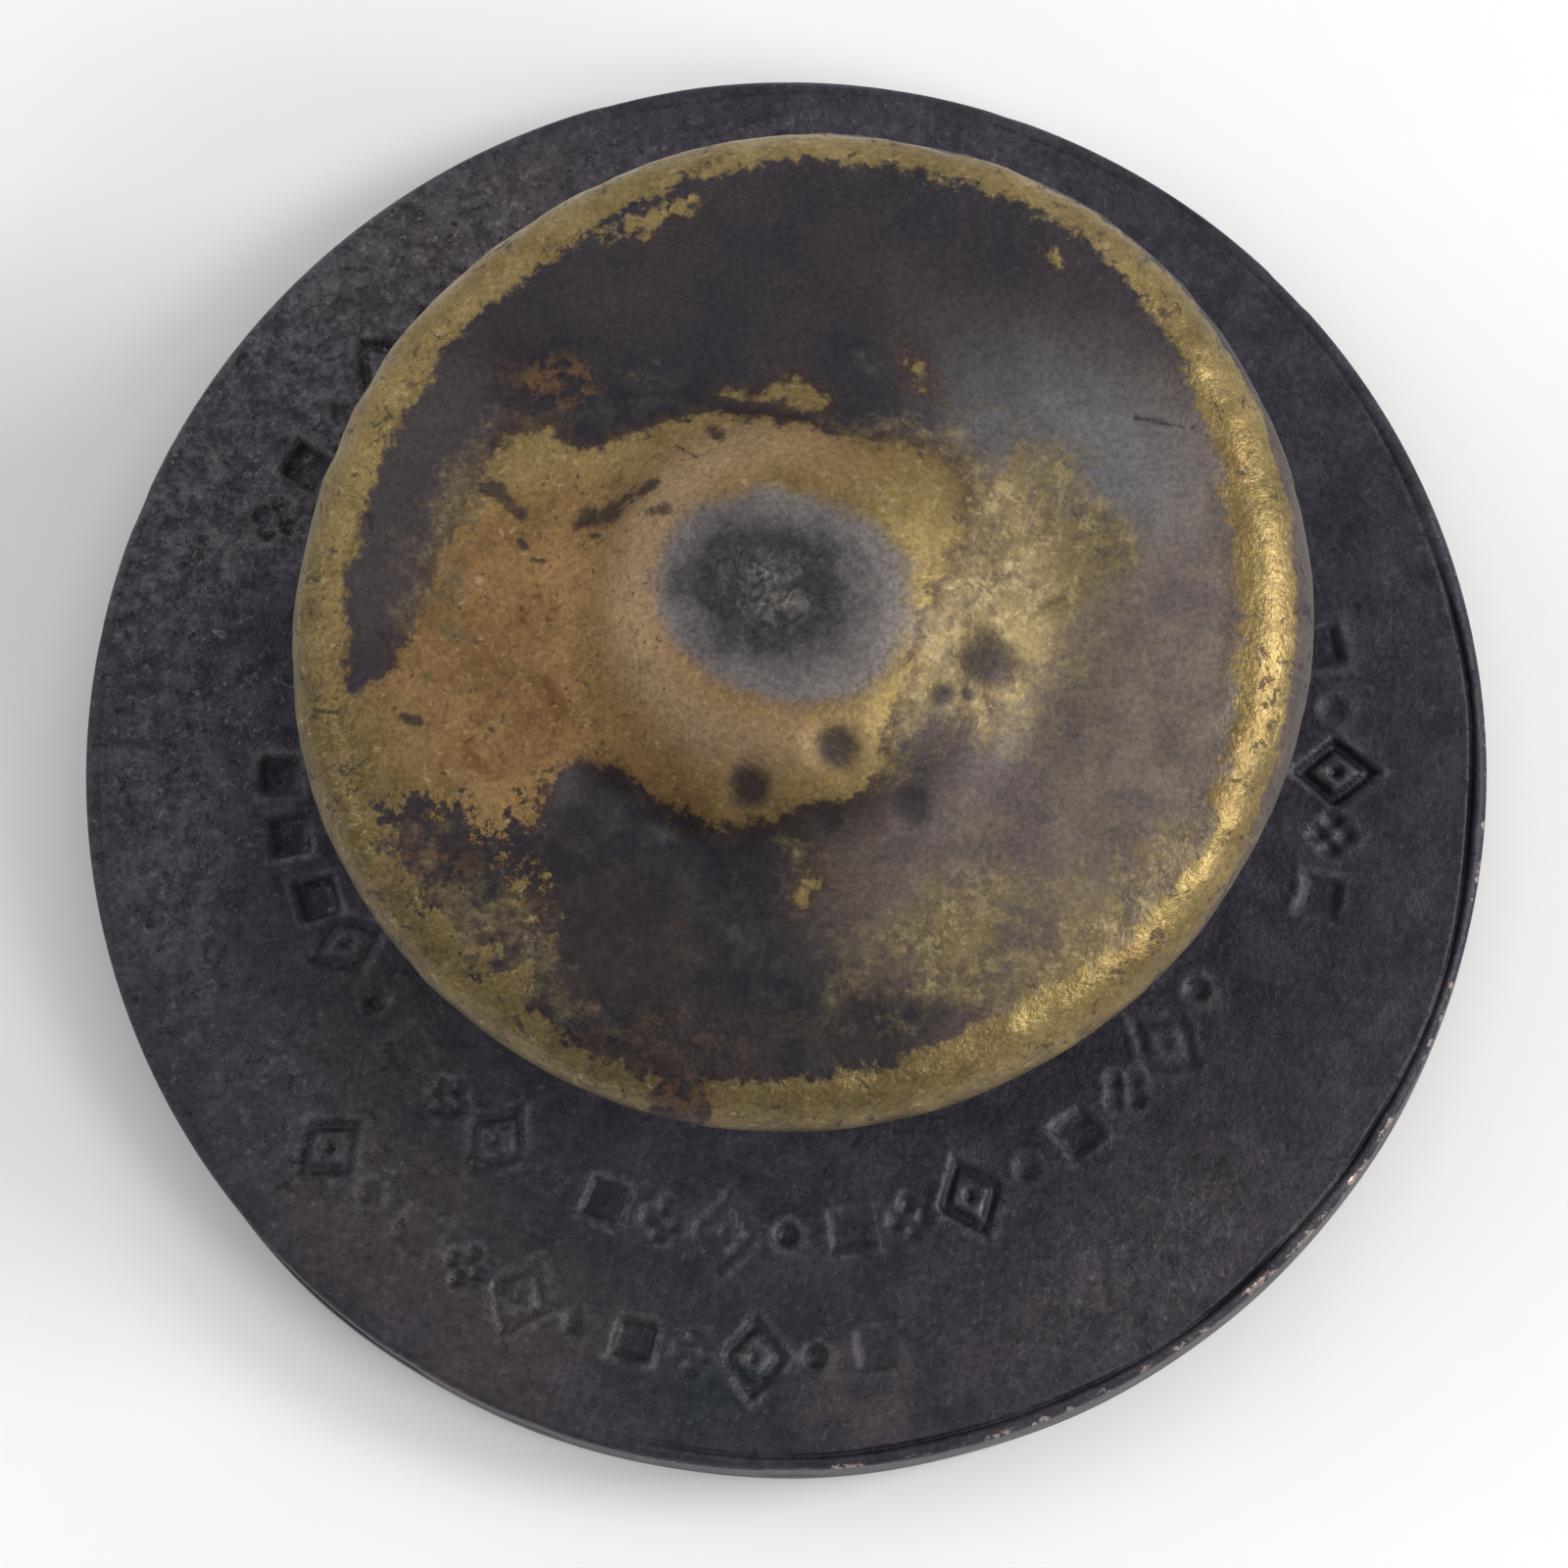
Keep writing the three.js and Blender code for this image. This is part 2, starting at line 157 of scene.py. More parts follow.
def curve_points(p, per_span):
    """Catmull-Rom curve through all but the first and last two points."""
    out = []
    for i in range(1, len(p) - 2):
        a, b, c, d = p[i - 1 : i + 3]
        for t in np.linspace(0, 1, per_span, endpoint=False):
            bend = (2 * a - 5 * b + 4 * c - d) * t**2 + (3 * b - a - 3 * c + d) * t**3
            out.append(0.5 * (2 * b + (c - a) * t + bend))
    return np.array(out)


def smooth_line(points, per_span):
    """Smooth open curve through the points."""
    p = np.array(points, float)
    p = np.vstack([2 * p[0] - p[1], p, 2 * p[-1] - p[-2]])
    return np.vstack([curve_points(p, per_span), p[-2:-1]])


def inside_outline(x, y, corners):
    """How far inside a smooth closed outline a point is, in mm, and below 0 outside it."""
    p = np.array(corners, float)
    loop = curve_points(np.vstack([p[-1:], p, p[:2]]), 4)
    nearest = np.full(x.shape, 1e9)
    within = np.zeros(x.shape, bool)
    for (ax, ay), (bx, by) in zip(loop, np.roll(loop, -1, 0)):
        dx, dy = bx - ax, by - ay
        t = np.clip(((x - ax) * dx + (y - ay) * dy) / (dx * dx + dy * dy), 0, 1)
        nearest = np.minimum(nearest, np.hypot(x - ax - t * dx, y - ay - t * dy))
        spans = (ay > y) != (by > y)
        within ^= spans & (x < ax + (y - ay) / (dy + 1e-12) * dx)
    return np.where(within, nearest, -nearest)


def arc(centre, radius, start, stop, steps):
    angles = np.radians(np.linspace(start, stop, steps))
    return np.stack([centre[0] + radius * np.cos(angles), centre[1] + radius * np.sin(angles)], 1)


def line(start, stop, steps):
    return np.linspace(start, stop, steps)


def spin(cols, *parts):
    """Angles, and the radius and height of every point, when the parts of a profile turn round an axis."""
    profile = np.vstack(parts)
    angles = np.linspace(0, TURN, cols, endpoint=False)
    return angles, np.repeat(profile[:, :1], cols, 1), np.repeat(profile[:, 1:], cols, 1)


def plan(radius, angles):
    """x and y at those radii and angles."""
    return radius * np.cos(angles), radius * np.sin(angles)


# ---- Meshes ----


def add_object(name, mesh):
    """Object with that mesh, smooth shaded."""
    mesh.polygons.foreach_set("use_smooth", np.ones(len(mesh.polygons), bool))
    obj = bpy.data.objects.new(name, mesh)
    bpy.context.scene.collection.objects.link(obj)
    return obj


def make_object(name, points, faces, fields=None):
    """Object from points in mm and faces, with its float fields as point attributes."""
    mesh = bpy.data.meshes.new(name)
    mesh.from_pydata((points * MM).tolist(), [], faces)
    for key, values in (fields or {}).items():
        mesh.attributes.new(key, "FLOAT", "POINT").data.foreach_set("value", values.astype(np.float32))
    mesh.update()
    return add_object(name, mesh)


def from_bmesh(name, bm):
    mesh = bpy.data.meshes.new(name)
    bm.to_mesh(mesh)
    bm.free()
    return add_object(name, mesh)


def around(name, radius, height, angles, centre, loop, fields=None):
    """Closed surface from rings of points, rows x columns, run counter-clockwise in the profile plane.
    A loop profile closes on itself; any other starts and ends at a pole."""
    rows, cols = radius.shape
    x, y = plan(radius, angles)
    points = np.stack([centre[0] + x, centre[1] + y, height], -1).reshape(-1, 3)
    here = np.arange(rows * cols).reshape(rows, cols)
    ahead = np.roll(here, -1, 1)
    above, above_ahead = np.roll(here, -1, 0), np.roll(ahead, -1, 0)
    count = rows if loop else rows - 1
    quads = np.stack([here, ahead, above_ahead, above], -1)[:count].reshape(-1, 4).tolist()
    fields = {key: np.broadcast_to(v, (rows, cols)).reshape(-1) for key, v in (fields or {}).items()}
    if not loop:
        first, last = len(points), len(points) + 1
        points = np.vstack([points, [(*centre, height[0].mean()), (*centre, height[-1].mean())]])
        quads += [[first, int(b), int(a)] for a, b in zip(here[0], ahead[0])]
        quads += [[last, int(a), int(b)] for a, b in zip(here[-1], ahead[-1])]
        fields = {key: np.append(v, [v[0], v[-1]]) for key, v in fields.items()}
    return make_object(name, points, quads, fields)


def finish_piece(obj, slot, body, *replaced):
    """Give a piece its material, and say what it rides on and which CAD nodes it stands for."""
    obj.data.materials.append(LOOKS[slot])
    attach(obj, body)
    if replaced:
        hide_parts(*replaced)


# ---- Materials ----


class Look:
    """One material's node tree. Each method adds a node and returns its output."""

    def __init__(self, name):
        self.material = bpy.data.materials.new(name)
        self.material.use_nodes = True
        self.tree = self.material.node_tree
        self.shader = self.tree.nodes["Principled BSDF"]
        self.place = self.node("ShaderNodeTexCoord", {}, "Object")

    def node(self, kind, inputs, output=0, **settings):
        made = self.tree.nodes.new(kind)
        for key, value in settings.items():
            setattr(made, key, value)
        for key, value in inputs.items():
            if isinstance(value, bpy.types.NodeSocket):
                self.tree.links.new(value, made.inputs[key])
            else:
                made.inputs[key].default_value = value
        return made.outputs[output]

    def field(self, name):
        return self.node("ShaderNodeAttribute", {}, "Fac", attribute_name=name)

    def noise(self, size, detail=3.0, roughness=0.55, warp=0.0):
        """Noise with lumps of about that size in mm, 0 to 1."""
        inputs = {
            "Vector": self.place,
            "Scale": 0.7 / (size * MM),
            "Detail": detail,
            "Roughness": roughness,
            "Distortion": warp,
        }
        return self.node("ShaderNodeTexNoise", inputs)

    def spots(self, size, low, high):
        """1 in scattered round spots about that far apart in mm, 0 between them."""
        inputs = {"Vector": self.place, "Scale": 1 / (size * MM), "Randomness": 1.0}
        distance = self.node("ShaderNodeTexVoronoi", inputs, "Distance")
        return self.step(distance, high, low)

    def step(self, value, low, high):
        """0 below low, 1 above high, smooth between."""
        limits = {"Value": value, "From Min": low, "From Max": high}
        return self.node("ShaderNodeMapRange", limits, interpolation_type="SMOOTHSTEP")

    def lumps(self, low, high, size, detail=3.0, roughness=0.55, warp=0.0):
        """1 in the lumps of a noise, where it is above high, and 0 where it is below low."""
        return self.step(self.noise(size, detail, roughness, warp), low, high)

    def math(self, operation, a, b=0.0, clamp=False):
        return self.node("ShaderNodeMath", {0: a, 1: b}, operation=operation, use_clamp=clamp)

    def times(self, a, b):
        return self.math("MULTIPLY", a, b)

    def add_scaled(self, value, other, amount, middle=0.5):
        """value + (other - middle) * amount."""
        shifted = self.math("SUBTRACT", other, middle)
        return self.node("ShaderNodeMath", {0: shifted, 1: amount, 2: value}, operation="MULTIPLY_ADD")

    def colour(self, factor, a, b):
        inputs = {0: factor, 6: a if isinstance(a, bpy.types.NodeSocket) else (*a, 1.0)}
        inputs[7] = b if isinstance(b, bpy.types.NodeSocket) else (*b, 1.0)
        return self.node("ShaderNodeMix", inputs, 2, data_type="RGBA")

    def tinted(self, colour, gain):
        """The colour made that many times as bright."""
        scaled = {0: colour, "Scale": gain}
        return self.node("ShaderNodeVectorMath", scaled, operation="SCALE")

    def stain(self, under, over, mask, strength):
        """One colour over another, as strongly as mask times strength."""
        return self.colour(self.times(mask, strength), under, over)

    def grained(self, colour, grain, dark, light):
        """The colour, from dark to light times as bright over the grain."""
        lit = self.step(grain, 0.2, 0.8)
        return self.colour(lit, self.tinted(colour, dark), self.tinted(colour, light))

    def value(self, factor, a, b):
        return self.node("ShaderNodeMix", {0: factor, 2: a, 3: b}, 0, data_type="FLOAT")

    def bump(self, height, depth, under=None):
        """Bump that is depth mm deep where height runs from 0 to 1."""
        inputs = {"Height": height, "Distance": depth * MM, "Strength": 1.0}
        if under is not None:
            inputs["Normal"] = under
        return self.node("ShaderNodeBump", inputs)

    def finish(self, **inputs):
        names = {
            "colour": "Base Color",
            "roughness": "Roughness",
            "metallic": "Metallic",
            "normal": "Normal",
            "coat": "Coat Weight",
            "coat_roughness": "Coat Roughness",
            "specular": "Specular IOR Level",
        }
        for key, value in inputs.items():
            socket = self.shader.inputs[names[key]]
            if isinstance(value, bpy.types.NodeSocket):
                self.tree.links.new(value, socket)
            else:
                socket.default_value = (*value, 1.0) if isinstance(value, tuple) else value
        return self.material


def hub_top(look):
    """Top of the hub: lilac-grey bloom, with a dark, wrinkled spot in it. Returns colour and height."""
    patch = look.noise(0.4, 5.0, 0.65)
    bloom = look.colour(look.step(patch, 0.3, 0.7), (0.142, 0.124, 0.124), (0.200, 0.176, 0.170))
    creases = look.lumps(0.32, 0.60, 0.17, 6.0, 0.75, 0.9)
    rough = look.lumps(0.34, 0.66, 0.3, 5.0, 0.7, 0.6)
    middle = look.colour(rough, (0.062, 0.062, 0.064), (0.155, 0.142, 0.132))
    middle = look.colour(creases, (0.034, 0.034, 0.036), middle)
    glints = look.lumps(0.58, 0.72, 0.12, 4.0, 0.75, 0.8)
    middle = look.stain(middle, (0.30, 0.275, 0.24), glints, 0.6)
    spot = look.add_scaled(look.field("spot"), look.noise(0.34, 6.0, 0.72), 0.9)
    ring = look.colour(look.step(spot, 0.15, 0.70), (0.050, 0.048, 0.053), middle)
    colour = look.colour(look.step(spot, -0.35, 0.35), bloom, ring)
    height = look.times(creases, look.step(spot, -0.1, 0.3))
    return colour, height


def worn_brass_look():
    """Brass shell: bare metal where it is rubbed, tarnish elsewhere, with ragged edges between them."""
    look = Look("worn_brass")
    ragged = look.noise(0.30, 5.0, 0.65)
    fine = look.noise(0.09, 3.0, 0.6)
    broad = look.noise(1.1, 4.0, 0.6)
    grain = look.noise(0.05, 2.0, 0.6)
    # Tarnish: purple-black at the top, chocolate below. The pale grey-brown to the right, cool grey at the
    # upper right, is a painted reflection of the lamps on the tarnish.
    dark = look.colour(look.step(broad, 0.3, 0.7), (0.029, 0.027, 0.036), (0.045, 0.038, 0.046))
    brown = look.colour(look.step(broad, 0.38, 0.62), (0.020, 0.018, 0.025), (0.038, 0.028, 0.030))
    ochre = look.lumps(0.52, 0.72, 0.6, 6.0, 0.7, 0.6)
    brown = look.stain(brown, (0.110, 0.074, 0.044), ochre, 0.4)
    slate = look.lumps(0.54, 0.70, 0.8, 5.0, 0.65, 0.4)
    brown = look.stain(brown, (0.040, 0.043, 0.050), slate, 0.5)
    dark = look.colour(look.field("brown"), dark, brown)
    # Blue-black over the folds below and above the hub: painted shade, with lighter greenish-grey spots.
    crease_shade = look.colour(look.step(ragged, 0.42, 0.66), (0.018, 0.019, 0.027), (0.050, 0.052, 0.050))
    dark = look.colour(look.field("blue"), dark, crease_shade)
    # The next two colours are a painted reflection on the tarnish, laid on where pale is high.
    grey = look.colour(look.lumps(0.3, 0.7, 0.5, 5.0, 0.65), (0.128, 0.104, 0.100), (0.215, 0.165, 0.130))
    cool_sheen = look.colour(look.step(ragged, 0.3, 0.7), (0.148, 0.143, 0.150), (0.200, 0.190, 0.192))
    grey = look.colour(look.field("cool_sheen"), grey, cool_sheen)
    dust = look.colour(broad, (0.052, 0.042, 0.046), (0.082, 0.064, 0.066))
    dark = look.colour(look.field("dusty"), dark, dust)
    tarnish = look.colour(look.field("pale"), dark, grey)
    rust = look.times(look.field("rust"), look.lumps(0.44, 0.6, 0.20, 5.0, 0.7))
    tarnish = look.stain(tarnish, (0.140, 0.078, 0.040), rust, 0.7)
    # Thin film: tarnish rubbed almost through, olive and speckled.
    speckle = look.noise(0.14, 5.0, 0.75)
    film = look.colour(look.step(speckle, 0.36, 0.66), (0.120, 0.092, 0.060), (0.250, 0.188, 0.098))
    film = look.colour(look.lumps(0.42, 0.68, 0.6, 5.0, 0.65), film, (0.220, 0.168, 0.082))
    flaked = look.lumps(0.53, 0.62, 0.26, 6.0, 0.75, 0.2)
    film = look.stain(film, (0.36, 0.285, 0.145), flaked, 0.75)
    thin = look.add_scaled(look.field("film"), look.noise(0.8, 6.0, 0.72, 0.15), 3.2)
    thin = look.add_scaled(thin, speckle, 1.1)
    filmed = look.step(thin, -0.35, 0.75)
    surface = look.colour(filmed, tarnish, film)
    # Bare brass: olive gold on the rim, orange-brown round the hub and to the left.
    yellow = look.colour(look.step(broad, 0.3, 0.72), (0.215, 0.158, 0.064), (0.320, 0.238, 0.100))
    orange = look.colour(look.lumps(0.3, 0.7, 0.9, 5.0, 0.6), (0.230, 0.128, 0.056), (0.320, 0.196, 0.084))
    gold = look.colour(look.field("warm"), yellow, orange)
    smudge = look.lumps(0.46, 0.70, 0.35, 6.0, 0.72)
    gold = look.stain(gold, (0.125, 0.085, 0.042), smudge, 0.5)
    copper = look.lumps(0.50, 0.66, 0.75, 6.0, 0.7, 0.7)
    copper = look.times(copper, look.field("copper"))
    gold = look.stain(gold, (0.165, 0.082, 0.040), copper, 0.85)
    olive = look.lumps(0.50, 0.66, 0.6, 6.0, 0.72, 0.5)
    olive = look.times(olive, look.field("olive"))
    gold = look.stain(gold, (0.150, 0.122, 0.068), olive, 0.8)
    gold = look.stain(gold, (0.36, 0.27, 0.12), look.step(speckle, 0.56, 0.70), 0.4)
    gold = look.stain(gold, (0.185, 0.090, 0.042), rust, 0.6)
    # Darker brass on the lower left of the rim and at its outer edge: painted shade, broken up by the
    # smudges.
    dull = look.times(look.field("dull"), look.value(smudge, 0.45, 0.9))
    gold = look.colour(dull, gold, (0.125, 0.092, 0.046))
    # Lighter tan on the hub's left flank: a painted highlight.
    gold = look.colour(look.field("tan"), gold, (0.40, 0.280, 0.170))
    edge = look.add_scaled(look.field("wear"), ragged, 0.70)
    edge = look.add_scaled(edge, fine, 0.40)
    crumbs = look.math("SUBTRACT", look.noise(0.26, 7.0, 0.8, 0.1), 0.5)
    edge = look.math("ADD", edge, look.times(look.times(crumbs, 3.2), look.field("broken")))
    bare = look.step(edge, -0.06, 0.09)
    fringe = look.times(look.step(edge, -0.26, -0.04), look.math("SUBTRACT", 1.0, look.field("rim")))
    surface = look.stain(surface, (0.070, 0.040, 0.028), fringe, 0.55)
    surface = look.colour(bare, surface, gold)
    bright = look.times(look.lumps(0.57, 0.68, 0.11, 4.0, 0.75), look.math("MAXIMUM", filmed, bare))
    surface = look.stain(surface, (0.50, 0.40, 0.23), bright, 0.42)
    hub, hub_height = hub_top(look)
    bloom = look.step(look.add_scaled(look.field("halo"), look.noise(0.45, 5.0, 0.68), 0.9), 0.05, 0.60)
    surface = look.colour(bloom, surface, hub)
    specks = look.times(look.lumps(0.62, 0.70, 0.075, 3.0, 0.55), look.field("specks"))
    dirt = look.add_scaled(look.field("dirt"), look.noise(0.30, 6.0, 0.75, 0.6), 2.4)
    dirt = look.step(look.add_scaled(dirt, fine, 0.5), 0.42, 1.0)
    flakes = look.lumps(0.57, 0.64, 0.21, 5.0, 0.75, 0.5)
    flakes = look.times(flakes, look.field("flakes"))
    grime = look.math("MAXIMUM", dirt, look.math("MAXIMUM", specks, flakes))
    murk = look.colour(ragged, (0.035, 0.030, 0.036), (0.070, 0.052, 0.050))
    surface = look.stain(surface, murk, grime, 0.80)
    # Painted shade in the dents.
    shaded = look.step(look.add_scaled(look.field("recess_shade"), look.noise(0.22, 6.0, 0.72), 0.9), 0.20, 0.95)
    pit = look.colour(ragged, (0.026, 0.023, 0.029), (0.058, 0.048, 0.050))
    surface = look.stain(surface, pit, shaded, 0.88)
    surface = look.grained(surface, grain, 0.76, 1.22)
    # Only the rim is polished by handling.
    rough = look.value(look.times(bare, look.field("rim")), 0.56, 0.41)
    rough = look.add_scaled(rough, look.noise(0.25, 4.0, 0.65), 0.22)
    rough = look.math("ADD", rough, look.times(grime, 0.2))
    metal = look.value(look.math("SUBTRACT", bare, bloom, True), 0.82, 0.96)
    height = look.add_scaled(look.times(bare, 0.2), ragged, 1.0)
    height = look.add_scaled(height, look.times(hub_height, bloom), 1.6, 0.0)
    height = look.add_scaled(height, grime, -0.35, 0.0)
    hammered = look.times(look.noise(0.20, 5.0, 0.7), look.field("rim"))
    height = look.add_scaled(height, hammered, 2.4, 0.0)
    normal = look.bump(height, 0.012)
    normal = look.bump(grain, 0.0045, normal)
    return look.finish(colour=surface, roughness=rough, metallic=metal, normal=normal)


def dark_bronze_look():
    """Old oxidised bronze: slate purple-black, pebbly, with green, teal and reddish-brown stains. Lighter
    mottling in soft zones is a painted reflection, the stamps get painted shade, and their rubbed burrs are
    partly a painted highlight.
    """
    look = Look("dark_bronze")
    lumps = look.noise(0.5, 6.0, 0.7)
    grain = look.noise(0.07, 3.0, 0.65)
    pebbles = look.noise(0.16, 5.0, 0.72, 0.4)
    base = look.colour(look.step(lumps, 0.32, 0.68), (0.023, 0.0225, 0.033), (0.047, 0.042, 0.057))
    mottle = look.lumps(0.40, 0.62, 0.16, 6.0, 0.78)
    mottle = look.colour(mottle, (0.040, 0.036, 0.044), (0.142, 0.130, 0.144))
    # Lighter mottling in the pale zones near the edge: a painted reflection of the soft light.
    base = look.stain(base, mottle, look.field("pale"), 0.75)
    brown = look.times(look.field("brown"), look.lumps(0.34, 0.58, 0.8, 6.0, 0.65))
    base = look.stain(base, (0.066, 0.050, 0.052), brown, 0.9)
    teal = look.times(look.field("teal"), look.lumps(0.36, 0.60, 0.6, 6.0, 0.65))
    base = look.stain(base, (0.013, 0.022, 0.031), teal, 0.85)
    green = look.times(look.field("green"), look.lumps(0.36, 0.60, 0.5, 6.0, 0.7))
    base = look.stain(base, (0.034, 0.044, 0.034), green, 0.8)
    # Painted shade in the stamped marks and the trimming groove.
    base = look.stain(base, (0.014, 0.014, 0.020), look.field("recess_shade"), 0.55)
    scuff = look.math("ADD", look.math("MAXIMUM", look.field("scuff"), look.field("pale")), 0.24)
    flecks = look.times(look.lumps(0.56, 0.68, 0.10, 5.0, 0.8), scuff)
    base = look.colour(flecks, base, (0.17, 0.16, 0.17))
    # Lighter burrs round the stamps: rubbed raised metal, and partly a painted highlight on their edges.
    burr = look.times(look.field("burr"), look.lumps(0.40, 0.60, 0.24, 5.0, 0.72))
    base = look.stain(base, (0.125, 0.115, 0.125), burr, 0.85)
    pits = look.lumps(0.59, 0.66, 0.14, 5.0, 0.75)
    base = look.stain(base, (0.011, 0.010, 0.014), pits, 0.75)
    chips = look.add_scaled(look.field("edge_wear"), look.noise(0.22, 4.0, 0.75), 1.6)
    bare = look.step(chips, 0.62, 0.76)
    base = look.colour(bare, base, (0.34, 0.27, 0.24))
    base = look.grained(base, grain, 0.62, 1.38)
    rough = look.add_scaled(look.value(bare, 0.47, 0.38), lumps, 0.35)
    metal = look.value(bare, 0.6, 0.9)
    height = look.add_scaled(pebbles, pits, -0.5, 0.0)
    rougher = look.value(look.math("MAXIMUM", look.field("scuff"), look.field("pale")), 0.40, 1.3)
    normal = look.bump(look.times(height, rougher), 0.050)
    normal = look.bump(grain, 0.013, normal)
    return look.finish(colour=base, roughness=rough, metallic=metal, normal=normal)


def dull_brass_look():
    """Tarnished brass of the post, plate and hub, with dirt in its hollows."""
    look = Look("dull_brass")
    stain = look.noise(0.8, 5.0, 0.65)
    base = look.colour(look.step(stain, 0.35, 0.68), (0.075, 0.052, 0.035), (0.24, 0.165, 0.075))
    spots = look.lumps(0.55, 0.7, 0.2, 4.0, 0.7)
    base = look.stain(base, (0.04, 0.032, 0.03), spots, 0.7)
    rough = look.add_scaled(look.value(spots, 0.4, 0.6), stain, -0.2)
    normal = look.bump(look.noise(0.1, 4.0, 0.6), 0.006)
    return look.finish(colour=base, roughness=rough, metallic=0.9, normal=normal)


def grey_solder_look():
    """Old solder: lilac-grey bloom at its edge, and a rough, dark, wrinkled middle."""
    look = Look("grey_solder")
    base, height = hub_top(look)
    grain = look.noise(0.05, 2.0, 0.6)
    base = look.grained(base, grain, 0.76, 1.22)
    rough = look.add_scaled(look.noise(0.25, 4.0, 0.65), look.noise(0.1, 3.0), 0.2)
    rough = look.math("ADD", look.times(rough, 0.22), 0.45)
    height = look.add_scaled(look.times(height, 1.6), look.noise(0.30, 5.0, 0.65), 1.0)
    normal = look.bump(height, 0.012)
    normal = look.bump(grain, 0.0045, normal)
    return look.finish(colour=base, roughness=rough, metallic=0.82, normal=normal)


def enamel_look(name, deep, thin):
    """Fired glass enamel, ground flat: depth of colour varies a little, with pinholes."""
    look = Look(name)
    cloud = look.noise(1.6, 4.0, 0.6)
    base = look.colour(look.step(cloud, 0.35, 0.68), deep, thin)
    pinholes = look.spots(0.5, 0.03, 0.06)
    base = look.stain(base, (0.02, 0.018, 0.016), pinholes, 0.8)
    rough = look.add_scaled(look.value(pinholes, 0.16, 0.6), look.noise(0.5, 4.0), 0.12)
    normal = look.bump(look.noise(1.1, 2.0), 0.012)
    return look.finish(colour=base, roughness=rough, normal=normal, coat=0.6, coat_roughness=0.08)


def floor_look():
    """Plain pale card."""
    look = Look("pale_card")
    base = look.colour(look.noise(3.0, 4.0), (0.90, 0.90, 0.90), (0.93, 0.93, 0.93))
    normal = look.bump(look.noise(0.8, 4.0), 0.01)
    return look.finish(colour=base, roughness=0.85, normal=normal, specular=0.2)


# ---- Badge: back face ----


def diamond_mark(u, v):
    """Lozenge outline with a dot in it."""
    stroke = 0.085 - np.abs(0.31 - (np.abs(u) * 0.82 + np.abs(v) * 0.66))
    return np.maximum(stroke, 0.08 - np.hypot(u, v))


def pearl_mark(u, v):
    """One round dot."""
    return 0.17 - np.hypot(u, v)


def flower_mark(u, v):
    """Four round petals."""
    return 0.13 - np.minimum(np.hypot(np.abs(u) - 0.19, v), np.hypot(u, np.abs(v) - 0.19))


def square_mark(u, v):
    return 0.27 - np.maximum(np.abs(u), np.abs(v))


STAMP_CYCLE = (diamond_mark, pearl_mark, square_mark, flower_mark)

# Arcs of ornament stamped in the back: ring radius, first and last angle, spacing in degrees, depth in mm.
STAMP_ARCS = (
    (8.00, 220, 284, 5.9, 0.115),
    (7.75, 128, 160, 6.4, 0.150),
    (6.35, 202, 334, 7.6, 0.095),
    (7.45, -14, 15, 6.6, 0.125),
)
# Deeper square punches on the left: ring radius and angle.
PUNCHES = ((6.75, 187.5), (6.55, 195.5), (6.85, 180.5))


def stamp_depth(x, y):
    """How deep the stamps cut the back, in mm, and where the low burr round each one is, 0 to 1."""
    depth, burr = np.zeros_like(x), np.zeros_like(x)
    radius, angle = np.hypot(x, y), np.degrees(np.arctan2(y, x))

    def press(mark, ring, where, deep):
        turn = (angle - where + 180) % 360 - 180
        near = (np.abs(turn) < 6.5) & (np.abs(radius - ring) < 0.8)
        edge = mark(np.radians(turn[near]) * ring, radius[near] - ring)
        ridge = np.exp(-(((edge + 0.06) / 0.045) ** 2))
        depth[near] += deep * ramp(edge, -0.025, 0.07) - 0.02 * ridge
        burr[near] = np.maximum(burr[near], ridge * min(1, deep / 0.1))

    order = 0
    for ring, first, last, gap, deep in STAMP_ARCS:
        for where in np.arange(first, last, gap):
            worn = 0.8 + 0.4 * math.sin(2.3 * order + 0.7)
            press(STAMP_CYCLE[order % len(STAMP_CYCLE)], ring, where, deep * worn)
            order += 1
    for ring, where in PUNCHES:
        press(square_mark, ring, where, 0.16)
    fade = ramp(ripples(x, y, 3.0, 16), -1.2, 0.8)
    return depth * (0.55 + 0.40 * fade), burr * (0.4 + 0.6 * ramp(ripples(x, y, 0.6, 17), -0.8, 0.6))


# Stains on the bronze back, as zones for stains(). The pale zones are no stain but a painted reflection
# that lightens the mottling.
BRONZE_STAINS = {
    "teal": (
        (1.0, (-1.0, -8.3), (1.3, 0.8), 0, -0.3, 0.4),
        (0.35, (-8.3, 1.6), (0.8, 2.2), 8, -0.3, 0.5),
        (0.5, (-2.2, -6.6), (1.6, 0.7), -20, -0.3, 0.5),
    ),
    "green": (
        (1.0, (-5.4, -3.6), (1.1, 1.2), 40, -0.3, 0.6),
        (0.6, (-3.0, -7.0), (1.6, 0.6), -25, -0.3, 0.5),
    ),
    "brown": (
        (1.0, (0.9, -8.5), (0.9, 0.7), 0, -0.2, 0.3),
        (0.6, (-4.6, -6.9), (3.0, 1.5), -40, -0.5, 0.6),
        (0.6, (-3.6, 7.6), (2.6, 0.9), 25, -0.3, 0.6),
        (0.3, (4.6, -6.6), (3.6, 1.3), 35, -0.5, 0.6),
    ),
    "pale": (
        (1.0, (-6.0, 5.4), (4.2, 1.7), 46, -0.5, 0.7),
        (0.35, (4.8, -6.8), (2.2, 0.9), 30, -0.5, 0.8),
        (0.75, (-8.3, 0.2), (1.1, 3.4), 0, -0.4, 0.6),
        (0.35, (-6.6, -4.6), (1.2, 2.4), 40, -0.4, 0.6),
        (0.35, (0.2, 8.2), (3.6, 0.9), 0, -0.4, 0.5),
    ),
}


